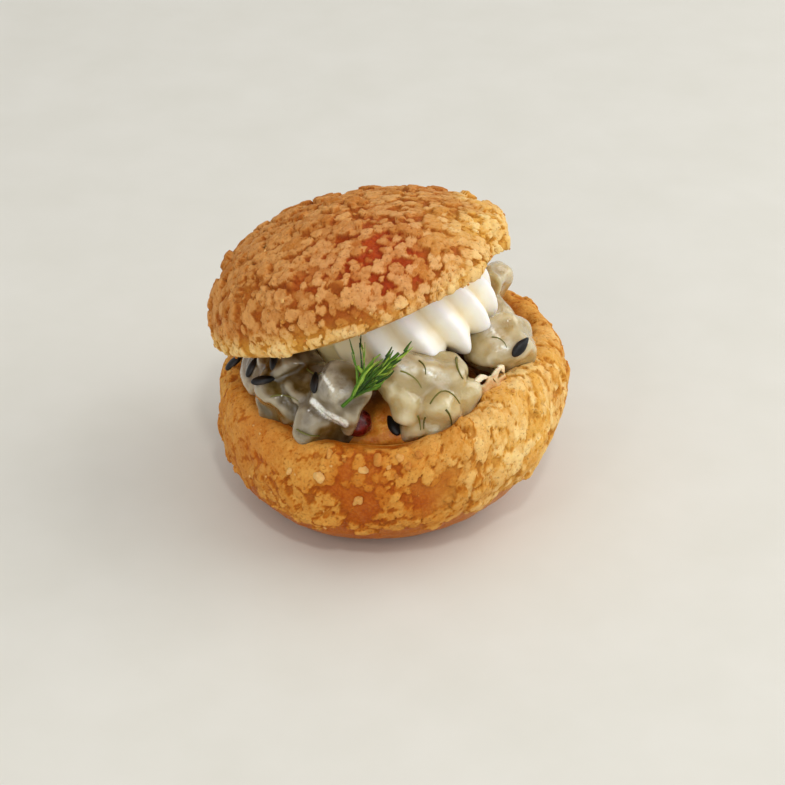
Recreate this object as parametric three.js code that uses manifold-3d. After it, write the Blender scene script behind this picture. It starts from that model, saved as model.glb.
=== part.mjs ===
// A savoury choux au craquelin: a small puff cut open, filled with diced raw seafood and a piped
// cream rosette, its crackled hat set back on at a tilt, with a dill sprig and a red peppercorn.
// Millimetres, +Z up, the origin at the middle of the flat foot, the open side facing -Y.

import * as THREE from "three";
import { mergeVertices } from "three/addons/utils/BufferGeometryUtils.js";
import Module from "manifold-3d";

const wasm = await Module();
wasm.setup();

// Lower half: a bun cut across above its widest place, with a rounded rim and a hollow
const FOOT_RADIUS = 13;
const FOOT_ROUNDING = 4.2;
const BULGE_RADIUS = 22.3;
const BULGE_HEIGHT = 12;
const BULGE_ROUNDING_BELOW = 6;
const BULGE_ROUNDING_ABOVE = 3.8;
const RIM_HEIGHT = 18;
const CREST_RADIUS = 19.4;
const CREST_ROUNDING = 2.2;
const LIP_RADIUS = 16.6;
const LIP_DROP = 2.4;
const WALL_ROUNDING = 4;
const FLOOR_HEIGHT = 6;
const FLOOR_RADIUS = 12;

// The bun is uneven: it leans towards +X, swells in waves, and its cut slopes and has a torn high place
const LEAN = 2.2;
const SWELLS = [
  { waves: 2, share: 0.014, phase: 0.6 },
  { waves: 3, share: 0.01, phase: -1.1 },
];
const RIM_SLOPE = new THREE.Vector2(0.09, 0.043);
const TORN_BEARING = -0.6;
const TORN_RISE = 2;
const TORN_INWARD = 1.2;
const TORN_NARROWNESS = 8;

// Hat: a dome cut off just below its widest place, slumped towards +X, with a hollowed underside
const HAT_RADIUS = 19.9;
const HAT_HEIGHT = 11.2;
const HAT_SLUMP = 0.15;
const HAT_SKIRT = 0.7;
const HAT_TUCK = 0.7;
const HAT_HOLLOW = 6;
const HAT_WALL = 3.6;
const HAT_EDGE = 0.6;
const DOME_LEVEL = 0.98;
const HAT_CENTRE = new THREE.Vector3(-2, 3.1, 27.7);
const HAT_NORMAL = new THREE.Vector3(-0.35, 0.25, 0.9).normalize();

// Crackled crust: clumps of biscuit crumb, each with a reach over the surface and a height
const CLUMP_REACH = 2.2;
const CLUMP_REACH_SPREAD = 0.5;
const CLUMP_HEIGHT = 0.95;
const CLUMP_HEIGHT_SPREAD = 0.45;
const CLUMP_FLAT_SHARE = 0.4;
const CLUMP_STRAY = 0.6;
const CLUMP_STRAY_TURN = 0.4;
const HAT_CLUMPS = 190;
const BASE_CLUMPS = 170;
const BASE_CLUMP_SHARE = 0.62;
const BASE_CLUMPS_FROM = 3.5;
const BASE_CLUMPS_TO = 17;
const BARE_PLACE = new THREE.Vector3(-16.5, -11, 15.5);
const BARE_REACH = 7;

// Piped cream: a twisted star section that swells above its foot
const CREAM_RADIUS = 11.9;
const CREAM_FOOT_RADIUS = 8.8;
const CREAM_SWELL_HEIGHT = 3;
const CREAM_SWELL_ROUNDING = 1.6;
const CREAM_SHOULDER = new THREE.Vector2(8.6, 6.6);
const CREAM_HEIGHT = 13.1;
const CREAM_FLUTES = 15;
const CREAM_TWIST = 0.5;
const FLUTE_DEPTH = 0.13;
const FLUTE_SHARPNESS = 0.8;
const FLUTE_START = 0.6;
const FLUTE_DROOP = 0.9;
const SAG = 1.2;
const SAG_BEARING = -1.2;
const SAG_NARROWNESS = 4;
const CREAM_CENTRE = new THREE.Vector3(5, 0.6, 22.2);
const CREAM_NORMAL = new THREE.Vector3(-0.27, 0.15, 0.95).normalize();

// Filling: a mound that fills the hollow, dice of seafood on it, and black seeds on those
const MOUND_HEIGHT = 21;
const MOUND_SHOULDER = 0.5;
const MOUND_INSET = 1.2;
const DIE_ROUNDING = 0.5;
const DIE_BALL = 0.62;
const DIE_UNEVENNESS = 0.2;
const SEED_LENGTH = 3.2;
const SEED_WIDTH = 1.7;
const SEED_THICKNESS = 1.1;

// The dice that show at the open front: place, size and turn in degrees
const FRONT_DICE = [
  { at: [-4.4, -14.0, 22.0], size: [5.4, 4.8, 6.4], turn: [18, 12, -24] },
  { at: [-6.8, -13.0, 17.6], size: [6.2, 5.4, 5.4], turn: [-10, 20, 30] },
  { at: [-11.2, -9.6, 18.8], size: [5.6, 5.8, 6.2], turn: [12, -8, 55] },
  { at: [-10.6, -6.4, 21.2], size: [6.4, 6.0, 5.0], turn: [-6, 14, 20] },
  { at: [-14.4, -3.6, 19.0], size: [4.6, 5.2, 4.8], turn: [0, 25, 10] },
  { at: [-8.0, -10.0, 20.4], size: [5.4, 5.4, 5.4], turn: [24, -18, 70] },
  { at: [6.7, -11.2, 23.2], size: [8.0, 6.0, 4.4], turn: [-14, 8, 6] },
  { at: [1.9, -13.2, 23.0], size: [3.0, 3.2, 3.0], turn: [30, 10, 40] },
  { at: [4.4, -13.8, 20.9], size: [4.4, 4.4, 5.0], turn: [14, -12, 20] },
  { at: [7.9, -14.2, 19.4], size: [3.8, 4.4, 6.8], turn: [8, 6, -16] },
  { at: [10.4, -12.2, 19.9], size: [4.0, 4.8, 5.6], turn: [-10, 12, 34] },
  { at: [5.0, -14.2, 17.4], size: [3.6, 4.0, 3.8], turn: [20, 30, 10] },
  { at: [16.4, -3.6, 22.4], size: [7.2, 6.2, 6.4], turn: [20, -16, 12] },
  { at: [14.4, 5.4, 20.6], size: [5.4, 5.8, 6.0], turn: [10, 30, 44] },
  { at: [15.6, 9.6, 22.8], size: [2.8, 5.0, 7.4], turn: [14, 22, -36] },
];

// Dice round the back, in a ring inside the rim, from one bearing to another in degrees
const BACK_DICE = 6;
const BACK_FROM = 66;
const BACK_TO = 190;
const BACK_RING = 13.6;
const BACK_HEIGHT = 18.2;
const BACK_RISE = 1.6;
const BACK_SIZE = 6.4;
const BACK_SIZE_SPREAD = 0.3;

// Seeds lie on the heap where a line from the viewer's side, or from the back, meets it.
// A front seed has its place across and up as seen along the line, and its turn in degrees.
const FRONT_WAY = new THREE.Vector3(0, 0.81, -0.59).normalize();
const FRONT_UP = new THREE.Vector3(0, 0.59, 0.81).normalize();
const FRONT_SEEDS = [
  { across: -15.8, up: 13.6, turn: 30 },
  { across: -14.2, up: 11.6, turn: 5 },
  { across: -12.8, up: 14.2, turn: 70 },
  { across: -7.5, up: 11.1, turn: 75 },
  { across: 2.9, up: 5.9, turn: 115 },
  { across: 18.6, up: 15.7, turn: 55 },
];
const BACK_SEEDS = 3;
const BACK_SEEDS_FROM = 50;
const BACK_SEEDS_TO = 120;
const BACK_WAY_SLOPE = 0.9;
const BACK_AIM_HEIGHT = 14;
const FAR = 60;

// A red peppercorn low in the middle
const PEPPERCORN_RADIUS = 1.8;
const PEPPERCORN_CENTRE = new THREE.Vector3(-2.2, -13.9, 17.7);
const PEPPERCORN_SIDES = 10;
const PEPPERCORN_RINGS = 7;

// Dill: a bent stem with fine fronds, a few that stray to the left and a dense bundle along it.
// A group's fronds lean from the stem by angles in degrees, towards the right if positive.
const STEM = [
  [-4.1, -18.4, 23.2],
  [-2.0, -17.4, 24.9],
  [0.6, -15.6, 26.7],
  [3.0, -14.2, 28.4],
];
const FROND_GROUPS = [
  { count: 3, from: 0.26, to: 0.36, leanFrom: -58, leanTo: -36, shortest: 5.0, longest: 6.2 },
  { count: 8, from: 0.28, to: 0.72, leanFrom: -18, leanTo: 22, shortest: 2.4, longest: 3.8 },
];
const STEM_FACE = new THREE.Vector3(0, -0.8, 0.6);
const STEM_RADIUS = 0.42;
const STEM_STEPS = 6;
const FROND_RADIUS = 0.3;
const FROND_STEPS = 2;
const FROND_ARCH = 0.12;
const FROND_LEAST_LIFT = 0.3;
const FROND_MOST_LIFT = 0.8;
const STRAND_SIDES = 3;

// Clearance between neighbours, and how finely each surface is divided
const GAP = 0.35;
const CRUST_GAP = 0.6;
const CREAM_GAP = 1;
const CREAM_NEST = 1.7;
const HAT_SEGMENTS = 66;
const BASE_SEGMENTS = 70;
const CREAM_SEGMENTS = 90;
const CORE_SEGMENTS = 20;
const CLEARANCE_SEGMENTS = 18;
const DIE_DIVISIONS = 2;
const WELD_DISTANCE = 1e-4;
const GOLDEN_ANGLE = Math.PI * (3 - Math.sqrt(5));
const QUARTER_TURN = 90;
const HALF_TURN = 180;
const RANDOM_SEEDS = { hatClumps: 11, baseClumps: 23, dice: 5, backSeeds: 41, fronds: 77 };
const RANDOM_FACTOR = 1664525;
const RANDOM_STEP = 1013904223;
const RANDOM_RANGE = 2 ** 32;

const { smoothstep, degToRad, lerp } = THREE.MathUtils;

// A stream of even numbers from 0 to 1 that is the same on every run
function seededRandom(seed) {
  let state = seed >>> 0;
  return () => {
    state = (Math.imul(state, RANDOM_FACTOR) + RANDOM_STEP) >>> 0;
    return state / RANDOM_RANGE;
  };
}

// Keeps a geometry's places alone, with the vertices that coincide merged
function weld(geometry) {
  geometry.deleteAttribute("normal");
  geometry.deleteAttribute("uv");
  return mergeVertices(geometry, WELD_DISTANCE);
}

function toSolid(geometry) {
  const welded = weld(geometry.clone());
  return new wasm.Manifold(
    new wasm.Mesh({
      numProp: 3,
      vertProperties: welded.attributes.position.array,
      triVerts: new Uint32Array(welded.index.array),
    }),
  );
}

function toGeometry(solid) {
  const { vertProperties, triVerts } = solid.getMesh();
  return new THREE.BufferGeometry()
    .setAttribute("position", new THREE.BufferAttribute(vertProperties, 3))
    .setIndex(new THREE.BufferAttribute(triVerts, 1));
}

// Turns a profile of curves, from the axis below to the axis above, round +Z
function revolve(stretches, segments) {
  const profile = stretches.flatMap(({ curve, steps }, i) =>
    curve.getSpacedPoints(steps).slice(i ? 1 : 0),
  );
  profile[0].x = 0;
  profile[profile.length - 1].x = 0;
  const turned = new THREE.LatheGeometry(profile, segments);
  turned.rotateX(Math.PI / 2);
  return weld(turned);
}

function line(x0, y0, x1, y1) {
  return new THREE.LineCurve(new THREE.Vector2(x0, y0), new THREE.Vector2(x1, y1));
}

function bend(...places) {
  return new THREE.CubicBezierCurve(...places.map(([x, y]) => new THREE.Vector2(x, y)));
}

// Moves every vertex by a function of its place and its outward normal
function reshape(geometry, move) {
  geometry.computeVertexNormals();
  const { position, normal } = geometry.attributes;
  const place = new THREE.Vector3();
  const outward = new THREE.Vector3();
  for (let i = 0; i < position.count; i++) {
    place.fromBufferAttribute(position, i);
    outward.fromBufferAttribute(normal, i);
    move(place, outward);
    position.setXYZ(i, place.x, place.y, place.z);
  }
  geometry.deleteAttribute("normal");
  return geometry;
}

function placed(geometry, centre, normal) {
  const turn = new THREE.Quaternion().setFromUnitVectors(new THREE.Vector3(0, 0, 1), normal);
  return geometry.clone().applyQuaternion(turn).translate(centre.x, centre.y, centre.z);
}

// Clumps of crumb in a golden spiral over a surface, which place(along, turn) describes
function scatterClumps(count, seed, place) {
  const random = seededRandom(seed);
  return Array.from({ length: count }, (_, i) => {
    const along = (i + 0.5 + CLUMP_STRAY * (random() - 0.5)) / count;
    const turn = i * GOLDEN_ANGLE + CLUMP_STRAY_TURN * (random() - 0.5);
    const reach = CLUMP_REACH * (1 + CLUMP_REACH_SPREAD * (random() - 0.5));
    const height = CLUMP_HEIGHT * (1 - CLUMP_HEIGHT_SPREAD * random());
    return { at: place(along, turn), reach, height };
  });
}

// Height of the crumb over the crust: each clump has a flat top and a steep edge
function crumbHeight(place, clumps) {
  let height = 0;
  for (const clump of clumps) {
    const share = place.distanceTo(clump.at) / clump.reach;
    const rise = clump.height * (1 - smoothstep(share, CLUMP_FLAT_SHARE, 1));
    height = Math.max(height, rise);
  }
  return height;
}

function uneven(place) {
  const lift = smoothstep(place.z, 0, BULGE_HEIGHT);
  const high = smoothstep(place.z, BULGE_HEIGHT, RIM_HEIGHT);
  const turn = Math.atan2(place.y, place.x);
  const torn = high * Math.max(0, Math.cos(turn - TORN_BEARING)) ** TORN_NARROWNESS;
  let swell = 1;
  for (const { waves, share, phase } of SWELLS) swell += lift * share * Math.cos(waves * turn + phase);
  place.x = place.x * swell + LEAN * lift - TORN_INWARD * torn * Math.cos(turn);
  place.y = place.y * swell - TORN_INWARD * torn * Math.sin(turn);
  place.z += lift * (RIM_SLOPE.x * place.x + RIM_SLOPE.y * place.y) + TORN_RISE * torn;
}

// Lower half: foot, belly, shoulder, rim, inner wall and floor. grow thickens the wall inwards.
function baseProfile(grow) {
  const lip = LIP_RADIUS - grow;
  const floor = FLOOR_HEIGHT + grow;
  const rim = RIM_HEIGHT + grow;
  const wallTop = rim - LIP_DROP;
  const belly = bend(
    [FOOT_RADIUS, 0],
    [FOOT_RADIUS + FOOT_ROUNDING, 0],
    [BULGE_RADIUS, BULGE_HEIGHT - BULGE_ROUNDING_BELOW],
    [BULGE_RADIUS, BULGE_HEIGHT],
  );
  const shoulder = bend(
    [BULGE_RADIUS, BULGE_HEIGHT],
    [BULGE_RADIUS, BULGE_HEIGHT + BULGE_ROUNDING_ABOVE],
    [CREST_RADIUS + CREST_ROUNDING, rim],
    [CREST_RADIUS, rim],
  );
  const lipBend = bend(
    [CREST_RADIUS, rim],
    [CREST_RADIUS - CREST_ROUNDING, rim],
    [lip, rim - LIP_DROP / 2],
    [lip, wallTop],
  );
  const wall = bend([lip, wallTop], [lip, floor + WALL_ROUNDING], [lip, floor], [FLOOR_RADIUS, floor]);
  return [
    { curve: line(0, 0, FOOT_RADIUS, 0), steps: 2 },
    { curve: belly, steps: 10 },
    { curve: shoulder, steps: 5 },
    { curve: lipBend, steps: 3 },
    { curve: wall, steps: 3 },
    { curve: line(FLOOR_RADIUS, floor, 0, floor), steps: 1 },
  ];
}

// Where the outside of the lower half stands at a height and a turn
function basePlace(height, turn) {
  const low = Math.min(1, height / BULGE_HEIGHT);
  const belly = lerp(FOOT_RADIUS, BULGE_RADIUS, Math.sqrt(1 - (1 - low) ** 2));
  const tuck = smoothstep(height, BULGE_HEIGHT, RIM_HEIGHT) * (BULGE_RADIUS - CREST_RADIUS);
  const radius = belly - tuck;
  return new THREE.Vector3(radius * Math.cos(turn), radius * Math.sin(turn), height);
}

// The crumb lies on the outside alone, and leaves a smooth band above the foot
function baseGeometry() {
  const clumps = scatterClumps(BASE_CLUMPS, RANDOM_SEEDS.baseClumps, (along, turn) =>
    basePlace(lerp(BASE_CLUMPS_FROM, BASE_CLUMPS_TO, along), turn),
  ).filter(({ at }) => at.distanceTo(BARE_PLACE) > BARE_REACH);
  return reshape(revolve(baseProfile(0), BASE_SEGMENTS), (place, outward) => {
    const out = Math.hypot(place.x, place.y);
    const outside = smoothstep(out, CREST_RADIUS, CREST_RADIUS + CREST_ROUNDING);
    place.addScaledVector(outward, BASE_CLUMP_SHARE * outside * crumbHeight(place, clumps));
    uneven(place);
  });
}

// Hat: hollow underside, cut edge, tucked skirt and dome. grow moves the underside down and inwards.
function hatProfile(grow) {
  const inner = HAT_RADIUS - HAT_WALL - grow;
  const outer = HAT_RADIUS - HAT_TUCK;
  const edge = -HAT_SKIRT - HAT_EDGE - grow;
  const hollow = HAT_HOLLOW - grow;
  const ceiling = bend([0, hollow], [inner / 2, hollow], [inner, hollow / 2], [inner, -HAT_SKIRT]);
  const cut = bend([inner, -HAT_SKIRT], [inner, edge], [outer, edge], [outer, -HAT_SKIRT]);
  const dome = new THREE.EllipseCurve(0, 0, HAT_RADIUS, HAT_HEIGHT, 0, Math.PI / 2, false);
  return [
    { curve: ceiling, steps: 4 },
    { curve: cut, steps: 3 },
    { curve: line(outer, -HAT_SKIRT, HAT_RADIUS, 0), steps: 1 },
    { curve: dome, steps: 22 },
  ];
}

function hatGeometry() {
  const clumps = scatterClumps(HAT_CLUMPS, RANDOM_SEEDS.hatClumps, (along, turn) => {
    const up = 1 - along;
    const girth = HAT_RADIUS * Math.sqrt(1 - up * up);
    return new THREE.Vector3(girth * Math.cos(turn), girth * Math.sin(turn), HAT_HEIGHT * up);
  });
  return reshape(revolve(hatProfile(0), HAT_SEGMENTS), (place, outward) => {
    const level = Math.hypot(place.x / HAT_RADIUS, place.y / HAT_RADIUS, place.z / HAT_HEIGHT);
    const onDome = place.z > -HAT_TUCK && level > DOME_LEVEL;
    if (!onDome) return;
    place.addScaledVector(outward, crumbHeight(place, clumps));
    place.z *= 1 - (HAT_SLUMP * place.x) / HAT_RADIUS;
  });
}

function creamProfile(grow) {
  const radius = CREAM_RADIUS + grow;
  const top = CREAM_HEIGHT + grow;
  const foot = bend(
    [CREAM_FOOT_RADIUS, -grow],
    [radius, -grow],
    [radius, CREAM_SWELL_HEIGHT - CREAM_SWELL_ROUNDING],
    [radius, CREAM_SWELL_HEIGHT],
  );
  const crown = bend(
    [radius, CREAM_SWELL_HEIGHT],
    [radius, CREAM_SHOULDER.y],
    [CREAM_SHOULDER.x, top],
    [0, top],
  );
  return [
    { curve: line(0, -grow, CREAM_FOOT_RADIUS, -grow), steps: 1 },
    { curve: foot, steps: 4 },
    { curve: crown, steps: 5 },
  ];
}

// Ridges run up the rosette at a slant, and hang lowest at its foot and on the side where it sags
function creamGeometry() {
  return reshape(revolve(creamProfile(0), CREAM_SEGMENTS), (place) => {
    const turn = Math.atan2(place.y, place.x) + CREAM_TWIST * (place.z / CREAM_HEIGHT);
    const ridge = Math.abs(Math.cos((CREAM_FLUTES / 2) * turn)) ** FLUTE_SHARPNESS;
    const outer = smoothstep(Math.hypot(place.x, place.y), 0, CREAM_RADIUS * FLUTE_START);
    const shrink = 1 - FLUTE_DEPTH * (1 - ridge) * outer;
    const sag = SAG * Math.max(0, Math.cos(turn - SAG_BEARING)) ** SAG_NARROWNESS;
    const low = outer * (1 - smoothstep(place.z, 0, CREAM_SWELL_HEIGHT));
    place.set(place.x * shrink, place.y * shrink, place.z - low * ridge * (FLUTE_DROOP + sag));
  });
}

// One die of seafood: a rounded box with its corners pushed about
function dieGeometry(size, turn, random) {
  const die = weld(new THREE.BoxGeometry(1, 1, 1, DIE_DIVISIONS, DIE_DIVISIONS, DIE_DIVISIONS));
  const stray = () => 1 + DIE_UNEVENNESS * (random() - 0.5);
  reshape(die, (place) => {
    place.lerp(place.clone().setLength(DIE_BALL), DIE_ROUNDING);
    place.multiply(new THREE.Vector3(stray(), stray(), stray()));
  });
  die.scale(...size);
  return die.applyQuaternion(
    new THREE.Quaternion().setFromEuler(new THREE.Euler(...turn.map(degToRad))),
  );
}

function dice() {
  const random = seededRandom(RANDOM_SEEDS.dice);
  const shown = FRONT_DICE.map(({ at, size, turn }) =>
    dieGeometry(size, turn, random).translate(...at),
  );
  const behind = Array.from({ length: BACK_DICE }, (_, i) => {
    const along = i / (BACK_DICE - 1);
    const bearing = degToRad(lerp(BACK_FROM, BACK_TO, along));
    const size = [0, 1, 2].map(() => BACK_SIZE * (1 + BACK_SIZE_SPREAD * random()));
    const turn = [0, 1, 2].map(() => QUARTER_TURN * random());
    return dieGeometry(size, turn, random).translate(
      LEAN + BACK_RING * Math.cos(bearing),
      BACK_RING * Math.sin(bearing),
      BACK_HEIGHT + BACK_RISE * (1 - along),
    );
  });
  return [...shown, ...behind];
}

// The mound under the dice stands clear of the wall round it
function coreGeometry() {
  const radius = LIP_RADIUS - MOUND_INSET;
  const floor = FLOOR_HEIGHT + GAP;
  const shoulder = RIM_HEIGHT - LIP_DROP;
  const foot = FLOOR_RADIUS - MOUND_INSET;
  const side = bend([foot, floor], [radius, floor], [radius, floor], [radius, shoulder]);
  const top = bend(
    [radius, shoulder],
    [radius, RIM_HEIGHT],
    [radius * MOUND_SHOULDER, MOUND_HEIGHT],
    [0, MOUND_HEIGHT],
  );
  const core = revolve(
    [
      { curve: line(0, floor, foot, floor), steps: 1 },
      { curve: side, steps: 3 },
      { curve: top, steps: 5 },
    ],
    CORE_SEGMENTS,
  );
  return reshape(core, uneven);
}

function seedLines() {
  const random = seededRandom(RANDOM_SEEDS.backSeeds);
  const front = FRONT_SEEDS.map(({ across, up, turn }) => ({
    from: new THREE.Vector3(across, 0, 0).addScaledVector(FRONT_UP, up).addScaledVector(FRONT_WAY, -FAR),
    way: FRONT_WAY,
    turn,
  }));
  const behind = Array.from({ length: BACK_SEEDS }, (_, i) => {
    const bearing = degToRad(lerp(BACK_SEEDS_FROM, BACK_SEEDS_TO, (i + random()) / BACK_SEEDS));
    const way = new THREE.Vector3(-Math.cos(bearing), -Math.sin(bearing), -BACK_WAY_SLOPE).normalize();
    const from = new THREE.Vector3(LEAN, 0, BACK_AIM_HEIGHT).addScaledVector(way, -FAR);
    return { from, way, turn: HALF_TURN * random() };
  });
  return [...front, ...behind];
}

function seedsOn(heap) {
  const target = new THREE.Mesh(toGeometry(heap));
  const ray = new THREE.Raycaster();
  const seeds = [];
  for (const { from, way, turn } of seedLines()) {
    ray.set(from, way);
    const [hit] = ray.intersectObject(target);
    if (!hit) continue;
    const seed = new THREE.OctahedronGeometry(0.5, 1);
    seed.scale(SEED_LENGTH, SEED_WIDTH, SEED_THICKNESS).rotateZ(degToRad(turn));
    seeds.push(placed(seed, hit.point, hit.face.normal));
  }
  return seeds;
}

// Room that the filling leaves for the halves, the cream and the peppercorn
function clearances() {
  const base = reshape(revolve(baseProfile(CRUST_GAP), CLEARANCE_SEGMENTS), uneven);
  const hat = placed(revolve(hatProfile(CRUST_GAP), CLEARANCE_SEGMENTS), HAT_CENTRE, HAT_NORMAL);
  const nest = CREAM_CENTRE.clone().addScaledVector(CREAM_NORMAL, -CREAM_NEST);
  const cream = placed(revolve(creamProfile(CREAM_GAP), CLEARANCE_SEGMENTS), nest, CREAM_NORMAL);
  const pocket = peppercornGeometry(PEPPERCORN_RADIUS + GAP).translate(...PEPPERCORN_CENTRE);
  return [base, hat, cream, pocket].map(toSolid);
}

function without(solid, cutters) {
  return cutters.reduce((rest, cutter) => rest.subtract(cutter), solid);
}

// Core, dice and seeds as one solid. Scraps that a cut leaves loose are dropped.
function fillingGeometry() {
  const cutters = clearances();
  const heap = dice().reduce((sum, die) => sum.add(toSolid(die)), toSolid(coreGeometry()));
  const fitted = without(heap, cutters);
  const seeded = seedsOn(fitted).reduce((sum, seed) => sum.add(toSolid(seed)), fitted);
  const [largest] = without(seeded, cutters)
    .decompose()
    .sort((a, b) => b.volume() - a.volume());
  return toGeometry(largest);
}

function peppercornGeometry(radius) {
  return new THREE.SphereGeometry(radius, PEPPERCORN_SIDES, PEPPERCORN_RINGS);
}

// A thin rod of few sides along a curve
function strand(curve, radius, steps) {
  const corners = Array.from({ length: STRAND_SIDES }, (_, i) => {
    const turn = (2 * Math.PI * i) / STRAND_SIDES;
    return new THREE.Vector2(radius * Math.cos(turn), radius * Math.sin(turn));
  });
  return new THREE.ExtrudeGeometry(new THREE.Shape(corners), { steps, extrudePath: curve });
}

function dillGeometry() {
  const random = seededRandom(RANDOM_SEEDS.fronds);
  const stem = new THREE.CatmullRomCurve3(STEM.map((place) => new THREE.Vector3(...place)));
  let sprig = toSolid(strand(stem, STEM_RADIUS, STEM_STEPS));
  for (const { count, from, to, leanFrom, leanTo, shortest, longest } of FROND_GROUPS) {
    for (let i = 0; i < count; i++) {
      const along = lerp(from, to, i / (count - 1));
      const root = stem.getPointAt(along);
      const ahead = stem.getTangentAt(along);
      const aside = new THREE.Vector3().crossVectors(ahead, STEM_FACE).normalize();
      const lean = degToRad(lerp(leanFrom, leanTo, random()));
      const length = lerp(shortest, longest, random());
      const tip = root
        .clone()
        .addScaledVector(ahead, length * Math.cos(lean))
        .addScaledVector(aside, length * Math.sin(lean));
      const middle = root.clone().lerp(tip, 0.5).addScaledVector(aside, FROND_ARCH * length);
      middle.addScaledVector(STEM_FACE, lerp(FROND_LEAST_LIFT, FROND_MOST_LIFT, random()));
      const frond = new THREE.QuadraticBezierCurve3(root, middle, tip);
      sprig = sprig.add(toSolid(strand(frond, FROND_RADIUS, FROND_STEPS)));
    }
  }
  return toGeometry(sprig);
}

function piece(name, geometry, color, roughness) {
  const material = new THREE.MeshStandardMaterial({ color, roughness, metalness: 0 });
  const mesh = new THREE.Mesh(geometry, material);
  mesh.name = name;
  return mesh;
}

function setAt(mesh, centre, normal) {
  mesh.position.copy(centre);
  mesh.quaternion.setFromUnitVectors(new THREE.Vector3(0, 0, 1), normal);
  return mesh;
}

const hat = piece("hat", hatGeometry(), 0xcf9450, 0.8);
const cream = piece("cream", creamGeometry(), 0xfaf3e2, 0.45);
const peppercorn = piece("peppercorn", peppercornGeometry(PEPPERCORN_RADIUS), 0xa01818, 0.35);
peppercorn.position.copy(PEPPERCORN_CENTRE);

const puff = new THREE.Group();
puff.add(
  piece("base", baseGeometry(), 0xc98a42, 0.75),
  setAt(hat, HAT_CENTRE, HAT_NORMAL),
  setAt(cream, CREAM_CENTRE, CREAM_NORMAL),
  piece("filling", fillingGeometry(), 0xb8a988, 0.2),
  piece("dill_sprig", dillGeometry(), 0x4f7a2a, 0.5),
  peppercorn,
);

export default puff;
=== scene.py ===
"""Looks of a savoury choux au craquelin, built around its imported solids.

Places and sizes are in millimetres, as in the part's source, until a mesh is made in metres.
"""

from itertools import islice, product

import bmesh
import bpy
import numpy as np
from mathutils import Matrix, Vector
from mathutils.bvhtree import BVHTree


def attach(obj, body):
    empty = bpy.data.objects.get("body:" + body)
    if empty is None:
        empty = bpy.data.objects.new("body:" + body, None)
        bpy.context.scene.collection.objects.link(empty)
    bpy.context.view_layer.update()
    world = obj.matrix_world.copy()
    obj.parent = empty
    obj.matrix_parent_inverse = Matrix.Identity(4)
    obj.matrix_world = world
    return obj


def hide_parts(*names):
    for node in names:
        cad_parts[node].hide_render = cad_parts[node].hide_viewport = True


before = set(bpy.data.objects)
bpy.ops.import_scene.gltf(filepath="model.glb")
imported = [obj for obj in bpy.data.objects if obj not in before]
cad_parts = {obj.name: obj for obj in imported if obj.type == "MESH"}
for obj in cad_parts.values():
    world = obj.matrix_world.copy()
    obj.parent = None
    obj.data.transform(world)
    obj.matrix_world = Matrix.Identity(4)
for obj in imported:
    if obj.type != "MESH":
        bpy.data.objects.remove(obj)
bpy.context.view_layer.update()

BODY = "root"
METRES = 0.001

# Lower half: a bun cut across above its widest place, as in the part's source
FOOT_RADIUS = 13
FOOT_ROUNDING = 4.2
BULGE_RADIUS = 22.3
BULGE_HEIGHT = 12
BULGE_ROUNDING_BELOW = 6
BULGE_ROUNDING_ABOVE = 3.8
RIM_HEIGHT = 18
CREST_RADIUS = 19.4
CREST_ROUNDING = 2.2
LIP_RADIUS = 16.6
LIP_DROP = 2.4
WALL_ROUNDING = 4
FLOOR_HEIGHT = 6
FLOOR_RADIUS = 12
LEAN = 2.2
SWELLS = [(2, 0.014, 0.6), (3, 0.01, -1.1)]
RIM_SLOPE = (0.09, 0.043)
TORN_BEARING = -0.6
TORN_RISE = 2
TORN_INWARD = 1.2
TORN_NARROWNESS = 8

# Hat, in its own frame and then set on the puff at a tilt
HAT_RADIUS = 19.9
HAT_HEIGHT = 11.2
HAT_SLUMP = 0.15
HAT_SKIRT = 0.7
HAT_TUCK = 0.7
HAT_HOLLOW = 6
HAT_WALL = 3.6
HAT_EDGE = 0.6
HAT_CENTRE = (-2, 3.1, 27.7)
HAT_NORMAL = (-0.35, 0.25, 0.9)

# Clumps of biscuit crumb, placed by the same rule as in the part's source
CLUMP_REACH = 2.2
CLUMP_REACH_SPREAD = 0.5
CLUMP_HEIGHT = 0.95
CLUMP_HEIGHT_SPREAD = 0.45
CLUMP_STRAY = 0.6
CLUMP_STRAY_TURN = 0.4
HAT_CLUMPS = 190
HAT_CLUMP_SEED = 11
BASE_CLUMPS = 170
BASE_CLUMP_SEED = 23
BASE_CLUMP_SHARE = 0.9
BASE_CLUMPS_FROM = 3.5
BASE_CLUMPS_TO = 17
GOLDEN_ANGLE = np.pi * (3 - np.sqrt(5))

# Granules that make the clumps into plates, the beads between them, and the grain on them all
GRANULE = 0.82
FINE_GRANULE = 0.52
FINE_LEVEL = 0.85
BEAD = 0.85
BEAD_LEVEL = 0.6
BEAD_SHARE = 0.5
BEAD_LEAST = 0.4
BEAD_COVER = (0.25, 1.0)
GRAIN = 0.46
GRAIN_HEIGHT = 0.2
GRAIN_HEIGHT_BARE = 0.09
GRANULE_LEAST = 0.75
GRANULE_SPREAD = 0.45
GRANULE_EDGE = 0.26
GRANULE_ROUND = 0.15
GRANULE_DROP = 0.14
FINE_DROP = 0.75
PLATE_TILT = 0.34
GRANULE_WARP = 0.24
GRANULE_WARP_SIZE = 0.6
PLAIN_TINT = 0.5
# Width of the painted shade in the creases between plates, and how much of it fades on granule tops
CREASE_WIDTH = 0.1
CREASE_FADE = 0.85
CRACK_CLOSED = 0.5
CRACK_GAIN = 1.0
CRACK_RAGGED = 0.3
LOST_GAIN = 1.2
CRUMB_FROM = 0.06
CRUMB_TO = 0.36
# Painted shade on each granule: its colour lighter at its top and darker towards its edge, between these
GRANULE_SHADE_FROM = 0.65
GRANULE_SHADE_TO = 0.97
CLUMP_TINT_SHARE = 0.7
SHELL_WAVE = 0.34
SHELL_WAVE_SIZE = 6.0
SHELL_RIPPLE = 0.16
SHELL_RIPPLE_SIZE = 1.5

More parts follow.
